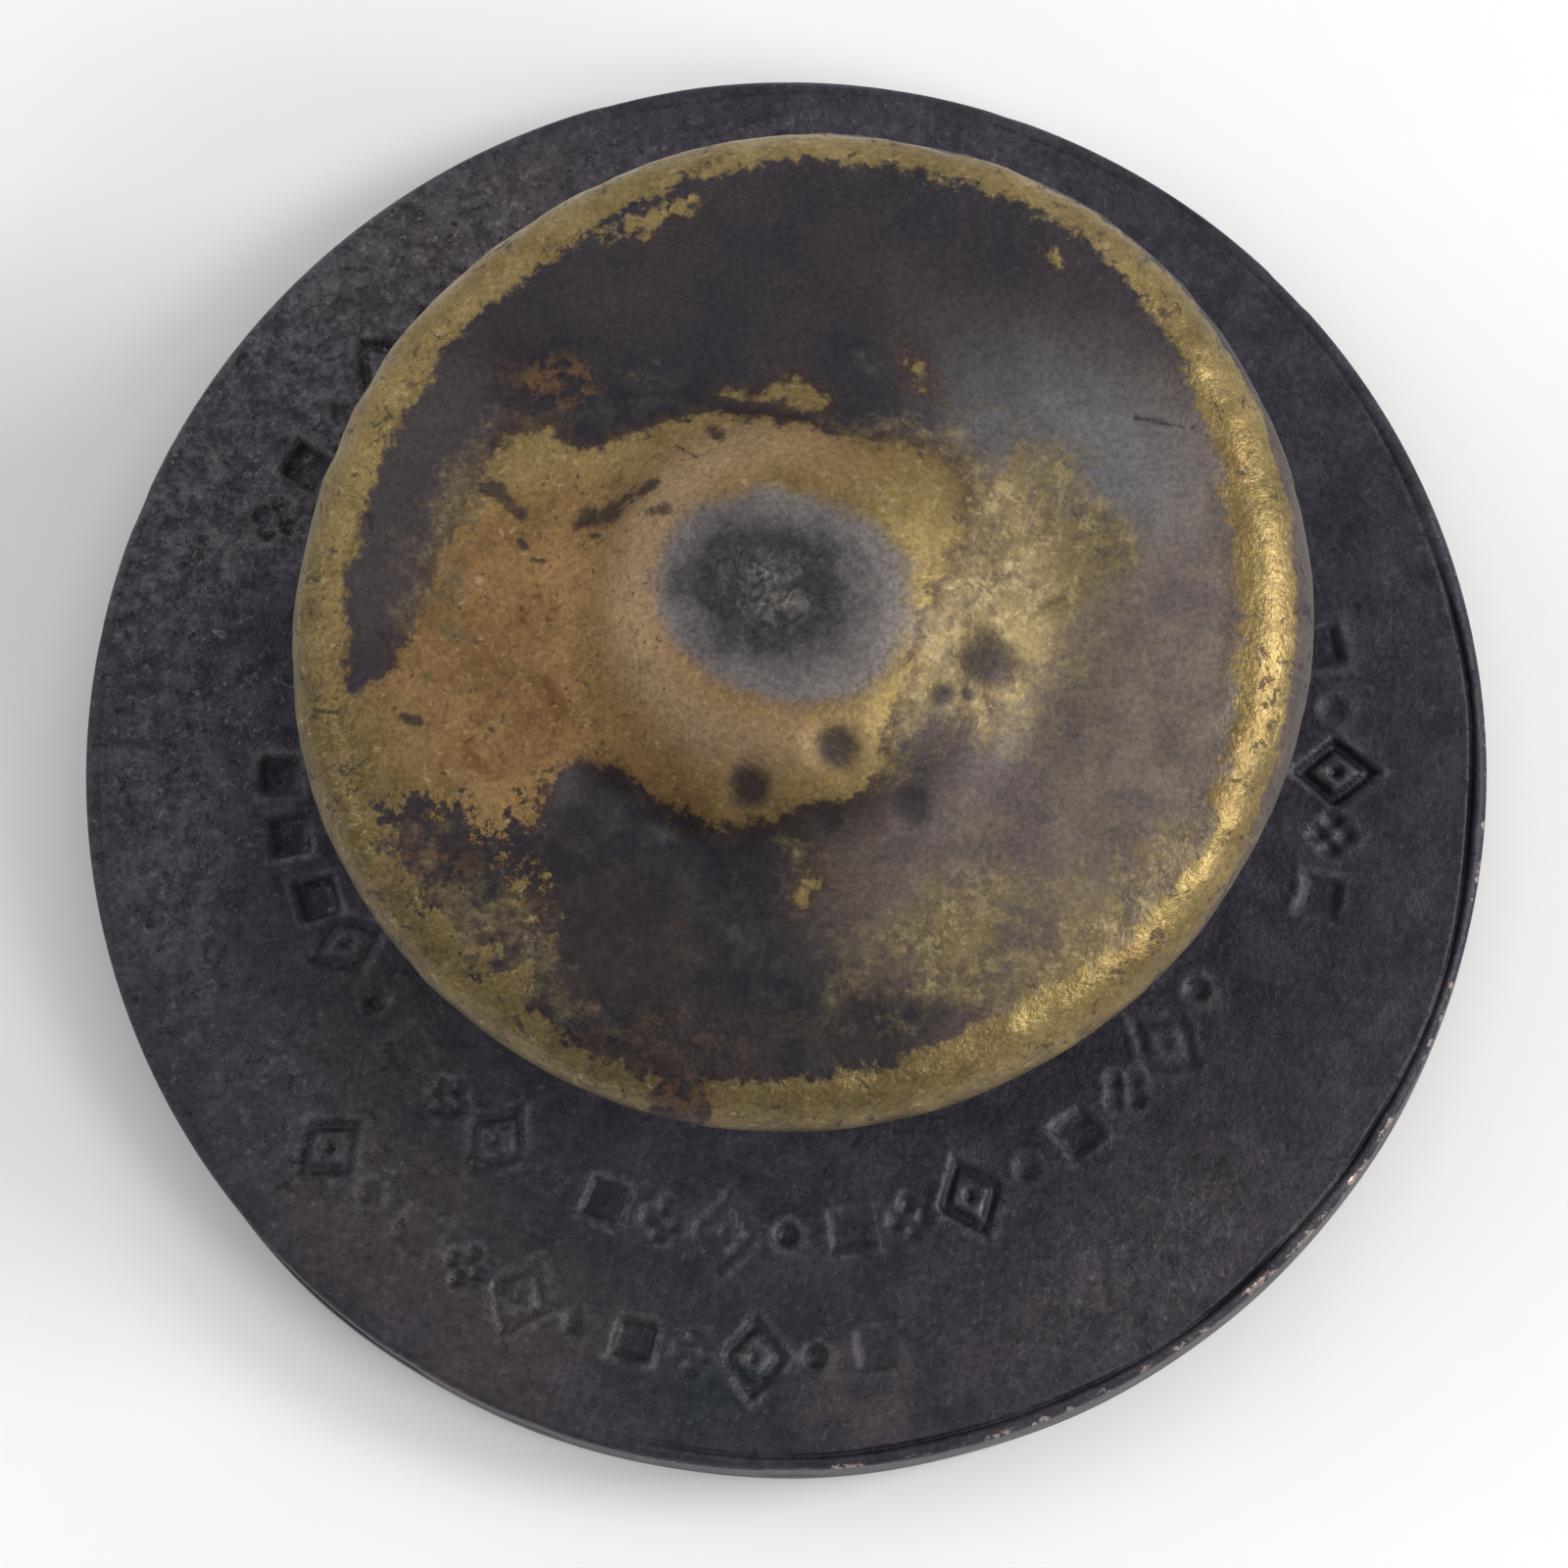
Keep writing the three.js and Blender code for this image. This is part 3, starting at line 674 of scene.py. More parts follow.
def badge_back():
    """Upper half of the badge: the stamped back face, the trimmed lip and the upper part of the edge."""
    split, round_off = 0.62, 0.10
    lip_start = BADGE_RADIUS - 0.32
    angles, radius, height = spin(
        960,
        line((0.6, split), (BADGE_RADIUS - 0.3, split), 3),
        line((BADGE_RADIUS, split + 0.01), (BADGE_RADIUS, BADGE_TOP - round_off), 5),
        arc((BADGE_RADIUS - round_off, BADGE_TOP - round_off), round_off, 15, 90, 5),
        line((BADGE_RADIUS - round_off - 0.03, BADGE_TOP), (lip_start, BADGE_TOP), 12),
        line((lip_start - 0.055, BADGE_TOP), (5.3, BADGE_TOP), 58),
        line((4.9, BADGE_TOP), (0.5, BADGE_TOP), 10),
    )
    x, y = plan(radius, angles)
    edge = plan(9, angles)
    on_face = ramp(height, BADGE_TOP - 0.02, BADGE_TOP)
    # The trimming groove inside the lip is cut on the right and lower right and fades away elsewhere.
    right = 0.12 + 0.88 * ramp(np.cos(angles - math.radians(-36)), 0.30, 0.85)
    uneven = np.clip(0.8 + 0.40 * ripples(*edge, 1.4, 15), 0.1, 1.4)
    wander = 0.025 * ripples(*edge, 2.0, 18)
    groove = np.exp(-(((radius - (BADGE_RADIUS - 0.19) - wander) / 0.032) ** 2)) * 0.085 * right * uneven
    lip = np.exp(-(((radius - (BADGE_RADIUS - 0.12)) / 0.06) ** 2)) * 0.015 * right
    stamped, burr = stamp_depth(x, y)
    sink = stamped + groove - lip
    sink += 0.020 * ripples(x, y, 2.2, 11) + 0.008 * ripples(x, y, 0.5, 12)
    left_rough = ramp(inside(x, y, (-7.4, 1.6), (1.6, 3.4), 8), -0.5, 0.8)
    left_rough = np.maximum(left_rough, 0.6 * ramp(inside(x, y, (-5.6, 6.0), (2.6, 1.3), 45), -0.4, 0.6))
    sink += 0.024 * left_rough * ripples(x, y, 0.28, 13, 30)
    seat = ramp(SEAT_RADIUS + FIT_GAP - np.hypot(x - POST_AXIS[0], y - POST_AXIS[1]), 0, 0.2)
    height = height - on_face * (sink + seat * SEAT_DEPTH)
    # The struck edge is out of round by a hair, and nicked.
    radius = radius * (1 + 0.0022 * np.cos(2 * (angles + 1.1)) * ramp(radius, 8.5, 9.2))
    nick = 0.012 * ramp(ripples(*edge, 0.8, 14), 0.9, 1.5)
    radius = radius - nick * ramp(radius, 9.2, 9.45)
    fields = {name: stains(x, y, zones) for name, zones in BRONZE_STAINS.items()}
    at_edge = ramp(radius, BADGE_RADIUS - 0.16, BADGE_RADIUS - 0.02)
    fields["edge_wear"] = at_edge * (0.24 + 0.34 * right) * ramp(height, BADGE_TOP - 0.13, BADGE_TOP - 0.07)
    fields["scuff"] = 0.75 * left_rough
    # Where the marks and groove are cut deep: painted shade in them.
    fields["recess_shade"] = on_face * ramp(stamped + groove, 0.02, 0.10)
    # Burrs lightened in colour, partly as a painted highlight.
    fields["burr"] = on_face * burr
    obj = around("badge_back_face", radius, height, angles, (0, 0), False, fields)
    finish_piece(obj, "dark_bronze", "badge", "badge_disc")


# ---- Badge: enamelled front ----


def badge_front():
    """Lower half of the badge: rim land, cell floors and the round walls between them, a little uneven."""
    floor_height = ENAMEL_BACK + FIT_GAP
    ease = 0.05
    walls = ((CENTRE_CELL, CENTRE_CELL + WALL), (RING_INNER - WALL, RING_INNER))
    parts = [line((0.5, floor_height), (CENTRE_CELL - 0.02, floor_height), 3)]
    for (low, high), next_wall in zip(walls, (walls[1][0], RIM_INNER)):
        parts.append(arc((low + ease, ease), ease, 180, 270, 4))
        parts.append(arc((high - ease, ease), ease, 270, 360, 4))
        parts.append(line((high + 0.02, floor_height), (next_wall - 0.02, floor_height), 4))
    parts.append(arc((RIM_INNER + ease, ease), ease, 180, 270, 4))
    parts.append(arc((BADGE_RADIUS - 0.14, 0.14), 0.14, 270, 360, 7))
    parts.append(line((BADGE_RADIUS, 0.3), (BADGE_RADIUS, 0.6), 3))
    parts.append(line((BADGE_RADIUS - 0.02, 0.63), (0.5, 0.63), 3))
    angles, radius, height = spin(360, *parts)
    x, y = plan(radius, angles)
    radius = radius * (1 + 0.0012 * ripples(x, y + height, 2.0, 21))
    height = height + 0.004 * ripples(x, y, 0.9, 22)
    obj = around("badge_front_face", radius, height, angles, (0, 0), False)
    finish_piece(obj, "dark_bronze", "badge")


def eased(bm, edges, width, segments):
    """Round off some edges."""
    bmesh.ops.bevel(bm, geom=edges, offset=width * MM, segments=segments, profile=0.6, affect="EDGES")


def front_spokes():
    """Straight walls between the six inner cells."""
    bm = bmesh.new()
    inner, outer = CENTRE_CELL + WALL - 0.1, RING_INNER - WALL + 0.1
    for index in range(SECTORS):
        size = Matrix.Diagonal(((outer - inner) * MM, WALL * MM, 0.5 * MM, 1))
        place = Matrix.Translation(((inner + outer) / 2 * MM, 0, 0.26 * MM))
        turn = Matrix.Rotation(TURN / 4 + TURN * index / SECTORS, 4, "Z")
        bmesh.ops.create_cube(bm, size=1, matrix=turn @ place @ size)
    eased(bm, bm.edges[:], 0.05, 2)
    finish_piece(from_bmesh("front_spokes", bm), "dark_bronze", "badge")


def front_pellets():
    """Small round studs that stand through the outer enamel ring."""
    middle = RIM_INNER - RING_WIDTH / 2
    stud = 0.42 * MM
    bm = bmesh.new()
    for index in range(PELLETS):
        x, y = plan(middle, TURN * (index + 0.5) / PELLETS)
        place = Matrix.Translation((x * MM, y * MM, 0.25 * MM))
        size = {"segments": 28, "radius1": stud, "radius2": stud, "depth": 0.46 * MM}
        bmesh.ops.create_cone(bm, cap_ends=True, matrix=place, **size)
    rims = [edge for edge in bm.edges if abs(edge.verts[0].co.z - edge.verts[1].co.z) < 1e-6]
    eased(bm, rims, 0.12, 4)
    finish_piece(from_bmesh("front_pellets", bm), "dark_bronze", "badge")


def enamel_patch(node, slot, inner, outer, start=None, stop=None):
    """Enamel in one cell. Its face is a little hollow, and creeps up the walls at its edge. With no start
    it is a whole ring; otherwise it lies between two spokes whose middles are at start and stop."""
    low, high = box_mm(node)
    whole = start is None
    rows, cols = 26, 300 if whole else 60
    v = np.linspace(0, 1, rows)[:, None]
    u = np.linspace(0, 1, cols, endpoint=not whole)[None, :]
    radius = inner + (outer - inner) * v + 0 * u
    rim = np.minimum(v, 1 - v) * (outer - inner) + 0 * u
    if whole:
        angle = TURN * u + 0 * v
    else:
        trim = np.arcsin(np.clip(WALL / 2 / radius, -1, 1))
        angle = (start + trim) + (stop - start - 2 * trim) * u
        rim = np.minimum(rim, np.minimum(u, 1 - u) * (stop - start - 2 * trim) * radius)
    x, y = plan(radius, angle)
    face = low[2] + 0.008 * ripples(x, y, 1.5, 31) - 0.035 * np.exp(-((rim / 0.08) ** 2)) + 0.012
    finish_piece(slab(node + "_glass", x, y, face, high[2], whole), slot, "badge", node)


def slab(name, x, y, face, back, whole):
    """Closed slab from a grid of face points and the same grid flat at its back."""
    rows, cols = x.shape
    front = np.stack([x, y, face], -1).reshape(-1, 3)
    rear = np.stack([x, y, np.full_like(x, back)], -1).reshape(-1, 3)
    index = np.arange(rows * cols).reshape(rows, cols)
    if whole:
        index = np.hstack([index, index[:, :1]])
    a, b, c, d = index[:-1, :-1], index[:-1, 1:], index[1:, 1:], index[1:, :-1]
    count = rows * cols
    faces = np.stack([a, b, c, d], -1).reshape(-1, 4).tolist()
    faces += (np.stack([d, c, b, a], -1).reshape(-1, 4) + count).tolist()
    border = [*zip(index[0, 1:], index[0, :-1]), *zip(index[-1, :-1], index[-1, 1:])]
    if not whole:
        border += [*zip(index[:-1, 0], index[1:, 0]), *zip(index[1:, -1], index[:-1, -1])]
    faces += [[int(p), int(q), int(q) + count, int(p) + count] for p, q in border]
    return make_object(name, np.vstack([front, rear]), faces)


def enamels():
    enamel_patch("enamel_ring", "blue_enamel", RING_INNER, RIM_INNER)
    enamel_patch("enamel_centre", "cream_enamel", 0.02, CENTRE_CELL)
    for index in range(SECTORS):
        start = TURN / 4 + TURN * index / SECTORS
        slot = ("red_enamel", "cream_enamel")[index % 2]
        node = f"enamel_sector_{index + 1}"
        enamel_patch(node, slot, CENTRE_CELL + WALL, RING_INNER - WALL, start, start + TURN / SECTORS)


# ---- Post ----


def thread(height, angle, root, crest):
    """Radius of a right-hand screw surface, in step with the CAD thread."""
    phase = (height / PITCH - angle / TURN) % 1
    lift = ramp(phase, 0.15, 0.47) - ramp(phase, 0.68, 1.0)
    return root + (crest - root) * lift


def threaded_post():
    """Round foot, plain neck and threaded shank with a worn tip."""
    foot_bottom, tip = post_low[2], post_high[2]
    foot_top = foot_bottom + 0.45
    shank_start = foot_top + 0.55
    angles, radius, height = spin(
        120,
        line((0.4, foot_bottom), (FOOT_RADIUS - 0.05, foot_bottom), 4),
        arc((FOOT_RADIUS - 0.09, foot_top - 0.09), 0.09, -10, 90, 7),
        line((FOOT_RADIUS - 0.2, foot_top), (1.3, foot_top), 5),
        arc((1.3, foot_top + 0.2), 0.2, 270, 180, 6),
        line((1.06, foot_top + 0.3), (1.06, shank_start - 0.05), 3),
        line((CREST_RADIUS, shank_start), (CREST_RADIUS, tip - 0.22), 250),
        arc((0.78, tip - 0.12), 0.12, 40, 90, 4),
        line((0.7, tip), (0.3, tip), 3),
    )
    cut = ramp(height, shank_start - 0.1, shank_start + 0.25)
    screw = thread(height, angles, ROOT_RADIUS, CREST_RADIUS - 0.015)
    tip_chamfer = ROOT_RADIUS + (tip - height) * 1.1
    threaded = np.minimum(screw, np.maximum(tip_chamfer, 0.3))
    is_shank = (height > foot_top + 0.28) & (radius > 1.0)
    radius = np.where(is_shank, radius * (1 - cut) + threaded * cut, radius)
    obj = around("post", radius, height, angles, POST_AXIS, False)
    finish_piece(obj, "dull_brass", "badge", "threaded_post")


def foot_solder():
    """Uneven collar of solder where the post's foot meets the badge."""
    inner, outer = FOOT_RADIUS - 0.02, half_width("foot_solder")
    low, top = fillet_low[2], fillet_high[2]
    curve = [(inner, low), (outer - 0.04, low), (outer, low + 0.03), (outer - 0.25, low + 0.09)]
    curve += [(inner + 0.25, low + 0.2), (inner + 0.1, top - 0.06)]
    curve += [(inner + 0.04, top), (inner, top - 0.02)]
    angles, radius, height = spin(160, smooth_line(curve, 4))
    swell = 1 + 0.05 * ripples(*plan(3, angles), 1.1, 41)
    radius = inner + (radius - inner) * swell
    height = low + (height - low) * (0.94 + 0.06 * np.minimum(swell, 1))
    x, y = plan(radius, angles)
    height = height + 0.012 * ripples(x, y, 0.4, 42) * ramp(height, low + 0.01, low + 0.05)
    fields = {"spot": 0.3 * ripples(x, y, 0.8, 43)}
    obj = around("foot_solder_collar", radius, height, angles, POST_AXIS, True, fields)
    finish_piece(obj, "grey_solder", "badge", "foot_solder")


# ---- Screw back ----

# Round dents pressed into the brass face: place, radius and depth, in mm. The last one gets no painted
# shade.
DENTS = (
    (2.45, -0.48, 0.36, 0.16),
    (1.86, -0.98, 0.15, 0.05),
    (2.18, -0.92, 0.10, 0.03),
    (0.50, -1.68, 0.31, 0.08),
    (-0.62, -2.10, 0.30, 0.15),
    (0.35, -2.50, 0.23, 0.07),
    (-2.74, -2.00, 0.36, 0.10),
    (1.45, -2.34, 0.26, 0.05),
    (2.15, 2.36, 0.22, 0.03),
)
# Broad hollows and buckles: place, radius and depth, in mm.
HOLLOWS = (
    (-1.9, -2.9, 0.95, 0.08),
    (-0.6, -4.1, 1.2, 0.09),
    (2.6, 1.0, 1.0, 0.05),
    (-3.4, 2.6, 1.1, 0.05),
    (3.4, -2.2, 1.0, 0.04),
)
# Thin fold above the hub, and a wide one below it where the face has sunk: start, end, half-width and
# depth.
FOLDS = (
    ((-0.95, 2.95), (-0.1, 2.78), 0.10, 0.05),
    ((-0.1, 2.78), (0.95, 2.48), 0.10, 0.05),
    ((-2.5, -2.0), (-1.5, -2.55), 0.32, 0.07),
    ((-1.5, -2.55), (-0.3, -2.62), 0.32, 0.07),
    ((-1.6, -2.6), (-0.4, -4.0), 0.32, 0.07),
)
# Scratches: start, end, half-width and depth in mm, and how dark they are.
SCRATCHES = (
    ((-1.97, 3.05), (-1.35, 3.33), 0.03, 0.02, 0.9),
    ((-1.55, 2.36), (-1.28, 2.16), 0.02, 0.012, 0.9),
    ((4.22, 2.76), (5.05, 2.60), 0.035, 0.02, 1.1),
    ((2.50, -0.25), (3.10, 0.30), 0.06, 0.02, 0.35),
    ((3.10, 0.30), (3.95, 0.90), 0.05, 0.02, 0.45),
    ((-5.42, 0.05), (-5.30, -0.15), 0.04, 0.03, 0.9),
    ((3.35, 1.70), (3.62, 1.42), 0.03, 0.015, 0.8),
)
# Smears of tarnish left on the rubbed brass: start, end and half-width, in mm.
SMEARS = (
    ((-2.86, 1.42), (-2.35, 1.58), 0.20),
    ((-2.25, 1.66), (-1.84, 1.84), 0.14),
    ((-1.85, 1.45), (-1.66, 1.43), 0.13),
    ((-2.66, 1.22), (-2.56, 1.22), 0.07),
    ((-4.02, 1.95), (-3.62, 1.60), 0.17),
    ((-1.10, 2.55), (-1.02, 2.47), 0.14),
    ((-3.62, 1.22), (-3.54, 1.14), 0.08),
    ((-3.45, 0.97), (-3.30, 0.95), 0.06),
    ((1.62, 2.92), (1.70, 2.86), 0.10),
    ((-5.10, -1.05), (-4.85, -1.12), 0.09),
    ((-4.00, -1.32), (-3.92, -1.22), 0.08),
)


def near_line(x, y, start, stop, width):
    """1 on a short straight stroke, fading to 0 about that width away."""
    ax, ay = start
    dx, dy = stop[0] - ax, stop[1] - ay
    t = np.clip(((x - ax) * dx + (y - ay) * dy) / (dx * dx + dy * dy), 0, 1)
    return np.exp(-((np.hypot(x - ax - t * dx, y - ay - t * dy) / width) ** 2))


def face_relief(x, y):
    """Height of the dents, creases and buckles on the brass face, in mm."""
    y = y + MARKS_BELOW
    relief = np.zeros_like(x)
    for dx, dy, size, depth in DENTS:
        relief -= depth * np.exp(-(((x - dx) ** 2 + (y - dy) ** 2) / size**2) ** 1.4)
    for dx, dy, size, depth in HOLLOWS:
        relief -= depth * np.exp(-((x - dx) ** 2 + (y - dy) ** 2) / size**2)
    for start, stop, width, depth, _ in SCRATCHES:
        relief -= depth * near_line(x, y, start, stop, width)
    for start, stop, width, depth in FOLDS:
        relief -= depth * near_line(x, y, start, stop, width)
    uneven = 0.03 * ripples(x, y, 2.4, 51) + 0.012 * ripples(x, y, 0.8, 52)
    return relief + uneven + 0.004 * ripples(x, y, 0.3, 53, 30)


# Outside of the shell from the field up over the hub, as radius and height.
HUB_CURVE = (
    (5.3, FIELD_TOP - 0.03),
    (4.5, FIELD_TOP),
    (3.7, FIELD_TOP + 0.01),
    (3.2, FIELD_TOP + 0.10),
    (2.8, FIELD_TOP + 0.33),
    (2.4, FIELD_TOP + 0.69),
    (2.05, HUB_TOP - 0.28),
    (1.7, HUB_TOP - 0.10),
    (1.3, HUB_TOP - 0.02),
    (MOUTH_RADIUS + 0.03, HUB_TOP - 0.01),
)


ROLL_CENTRE = (CAP_RADIUS - ROLL_RADIUS, LIP_BOTTOM + ROLL_RADIUS)


def cap_outside():
    """Lip, rolled rim, field and hub, up to the mouth."""
    lip_inner = PLATE_RADIUS - 0.3
    return np.vstack(
        [
            arc((lip_inner + 0.1, LIP_BOTTOM + 0.1), 0.1, 180, 262, 4),
            arc(ROLL_CENTRE, ROLL_RADIUS, -88, 78, 34),
            smooth_line([(5.87, ROLL_CENTRE[1] + 0.842), *HUB_CURVE], 8),
        ]
    )


def cap_inside():
    """From the mouth back along the inside to the lip."""
    lip_inner, lip_top = PLATE_RADIUS - 0.3, plate_low[2] - FIT_GAP
    inner = [
        (MOUTH_RADIUS, HUB_TOP - SHELL),
        (1.55, HUB_TOP - SHELL - 0.06),
        (1.75, HUB_TOP - SHELL - 0.2),
        (2.05, FIELD_TOP + 0.5),
        (2.5, FIELD_TOP),
        (3.25, FIELD_TOP - SHELL),
        (5.2, FIELD_TOP - SHELL - 0.05),
    ]
    roll = arc(ROLL_CENTRE, ROLL_RADIUS - SHELL, 75, -35, 8)
    lip = [(PLATE_RADIUS + 0.04, lip_top), (lip_inner + 0.05, lip_top)]
    return np.vstack([smooth_line(inner, 3), roll, lip])


# How far out the tarnished field reaches, in mm, every 15 degrees from +X.
FIELD_REACH = (
    (5.62, 5.64, 5.80, 6.02, 6.12, 6.10, 6.06, 6.05, 5.82, 5.88, 5.84, 5.86)
    + (5.82, 5.84, 5.88, 5.94, 6.12, 6.20, 5.98, 5.90, 5.82, 5.97, 6.04, 5.76)
)
# Brass rubbed bare from the hub to the left rim, as an outline.
RUBBED = (
    (-6.1, -0.9), (-5.35, -0.6), (-5.0, 0.0), (-4.65, 0.8), (-4.4, 1.5), (-4.15, 2.1), (-3.8, 2.55),
    (-3.3, 2.72), (-2.95, 2.42), (-2.3, 2.55), (-1.35, 2.78), (-0.1, 2.64), (0.7, 2.42), (1.9, 2.2),
    (2.1, 1.2), (1.7, 0.3), (1.35, -0.8), (0.95, -2.1), (0.3, -2.25), (-0.6, -2.55), (-1.4, -2.45),
    (-2.1, -2.0), (-2.8, -1.62), (-3.3, -2.0), (-3.3, -2.9), (-3.1, -3.7), (-3.55, -3.85), (-4.1, -3.1),
    (-4.55, -2.5), (-5.3, -2.2), (-5.8, -3.2), (-6.3, -2.6),
)
# Tarnish rubbed thin to the right of the hub.
THINNED = (
    (1.0, 2.5), (2.0, 2.3), (3.2, 2.2), (3.9, 1.5), (4.2, 0.9), (3.8, 0.4), (3.4, -0.5), (2.9, -1.0),
    (2.0, -1.3), (1.2, -1.9), (0.6, -1.2), (1.2, 0.4),
)
# Small bare patch above the hub.
LEAF = ((-1.1, 3.12), (-0.5, 3.1), (-0.08, 3.36), (0.12, 3.22), (0.36, 3.0), (0.1, 2.86), (-0.45, 2.98))


# Small bare patches, places where tarnish has eaten into the bright rim, and thin film, as zones for
# deepest().
PATCHES = (
    ((1.50, 3.42), (0.10, 0.22), 20, 1, -0.03),
    ((1.62, 3.12), (0.16, 0.08), -35, 1, -0.03),
    ((3.25, 4.86), (0.16, 0.09), -40, 1, -0.02),
    ((-1.9, 5.55), (0.75, 0.16), 22, 1, -0.04),
    ((0.15, -3.35), (0.30, 0.22), 60, 1, -0.12),
    ((-3.85, -4.45), (0.55, 0.40), -40, 1, -0.05),
    ((-4.55, 4.35), (0.2, 0.2), 0, 1, -0.3),
)
EATEN = (
    ((-1.55, -6.1), (0.42, 0.32), -20, 1, 0),
    ((-2.35, 5.62), (0.7, 0.09), 24, 1, 0),
    ((-1.35, 5.85), (0.5, 0.10), 12, 1, 0),
)
FILM = (
    ((2.1, -4.1), (1.2, 0.75), 10, 0.8, 0.06),
    ((2.0, -4.3), (0.6, 0.45), 0, 1, 0.30),
    ((4.0, -3.9), (1.7, 0.7), 42, 1, 0.14),
    ((4.5, -2.2), (0.9, 0.6), 0, 0.5, -0.55),
    ((3.9, -1.0), (1.0, 0.8), 0, 0.5, -0.45),
    ((0.1, -3.3), (0.5, 0.4), 0, 0.6, -0.35),
    ((-4.2, -3.6), (1.4, 0.7), -42, 0.7, -0.22),
    ((-3.6, 2.8), (1.0, 0.4), 10, 0.8, -0.35),
)
# Stains on the brass and its tarnish, and the cool grey of the painted reflection at the upper right, as
# zones for stains().
BRASS_STAINS = {
    "warm": (
        (1.0, (-2.7, -0.4), (3.3, 2.5), -8, -0.7, 1.0),
        (0.55, (-0.3, 2.2), (1.7, 0.6), -4, -0.3, 0.3),
    ),
    "copper": (
        (0.7, (-3.2, -0.3), (2.2, 1.6), -20, -0.6, 0.5),
        (0.4, (-4.4, -1.5), (1.4, 0.6), 10, -0.4, 0.4),
    ),
    "olive": (
        (1.2, (-4.6, 1.0), (0.8, 1.9), -18, -0.4, 0.3),
        (0.6, (1.6, 0.9), (0.8, 1.6), 20, -0.3, 0.4),
    ),
    "broken": (
        (1.0, (-4.2, -3.2), (1.6, 1.3), -50, -0.3, 0.3),
        (0.20, (-4.6, 1.2), (0.8, 2.0), -18, -0.3, 0.4),
        (0.25, (-2.2, 5.6), (1.4, 0.6), 24, -0.2, 0.2),
    ),
    "cool_sheen": ((1.0, (3.2, 2.7), (2.2, 1.2), -35, -0.6, 0.8),),
    "brown": ((0.6, (-3.6, 3.2), (1.4, 1.0), 0, -0.4, 0.6),),
    "dusty": ((1.0, (-5.0, 1.9), (0.9, 1.9), -18, -0.3, 0.3),),
    "flakes": ((0.35, (-3.6, 0.6), (2.2, 2.2), 0, -0.5, 0.5),),
}
RUST = (
    (1.3, (-3.15, 3.32), (0.50, 0.34), 0, -0.15, 0.1),
    (0.5, (-3.7, 3.45), (0.4, 0.16), 0, -0.2, 0.2),
    (0.8, (-4.7, -3.0), (0.8, 0.6), -45, -0.2, 0.4),
    (0.8, (-4.3, 4.9), (0.7, 0.24), 45, -0.2, 0.2),
    (1.0, (-1.6, -6.1), (0.6, 0.4), 0, -0.2, 0.2),
    (0.7, (-0.9, -1.35), (0.5, 0.3), 0, -0.3, 0.2),
    (0.4, (-1.8, -5.3), (1.2, 0.4), 0, -0.3, 0.3),
)


def hub_spot(x, y):
    """How far inside the dark, rough spot on the hub a point is, in mm from the hub's axis."""
    return inside(x, y, (-0.34, 0.17), (1.14, 0.92), -12)


def bare_and_film(x, y, roll):
    """How far inside the bare brass, and inside the thin film, each point is, in mm."""
    steps = TURN * np.arange(len(FIELD_REACH)) / len(FIELD_REACH)
    band = -inside_outline(x, y, np.stack(plan(np.array(FIELD_REACH), steps), 1))
    y = y + MARKS_BELOW
    bearing = np.arctan2(y, x)
    top_right = ramp(np.cos(bearing - math.radians(32)), -0.1, 0.75)
    at_right = np.exp(-((bearing / math.radians(30)) ** 2))
    shade = (roll - (-14 + 34 * top_right + 24 * at_right)) / 46
    rubbed = inside_outline(x, y, RUBBED)
    patches = np.maximum(inside_outline(x, y, LEAF), deepest(x, y, PATCHES))
    band = np.minimum(band, 0.05 - 3 * deepest(x, y, EATEN))
    wear = np.maximum(np.minimum(band, shade), np.maximum(rubbed, patches))
    # The rubbed area thins out to speckles at its lower left.
    wear = wear - 0.42 * ramp(inside(x, y, (-4.1, -3.0), (1.3, 1.0), -40), -0.2, 0.4) * (band < 0)
    # Film borders the rubbed area on its left.
    left_border = rubbed + 0.42 - 1.5 * ramp(-inside(x, y, (-4.7, 1.5), (1.0, 1.9), -16), -0.5, 0.2)
    film = np.maximum.reduce([inside_outline(x, y, THINNED) + 0.22, left_border, deepest(x, y, FILM)])
    return np.clip(wear, -1.2, 1.2), np.clip(film, -1.5, 1.0)


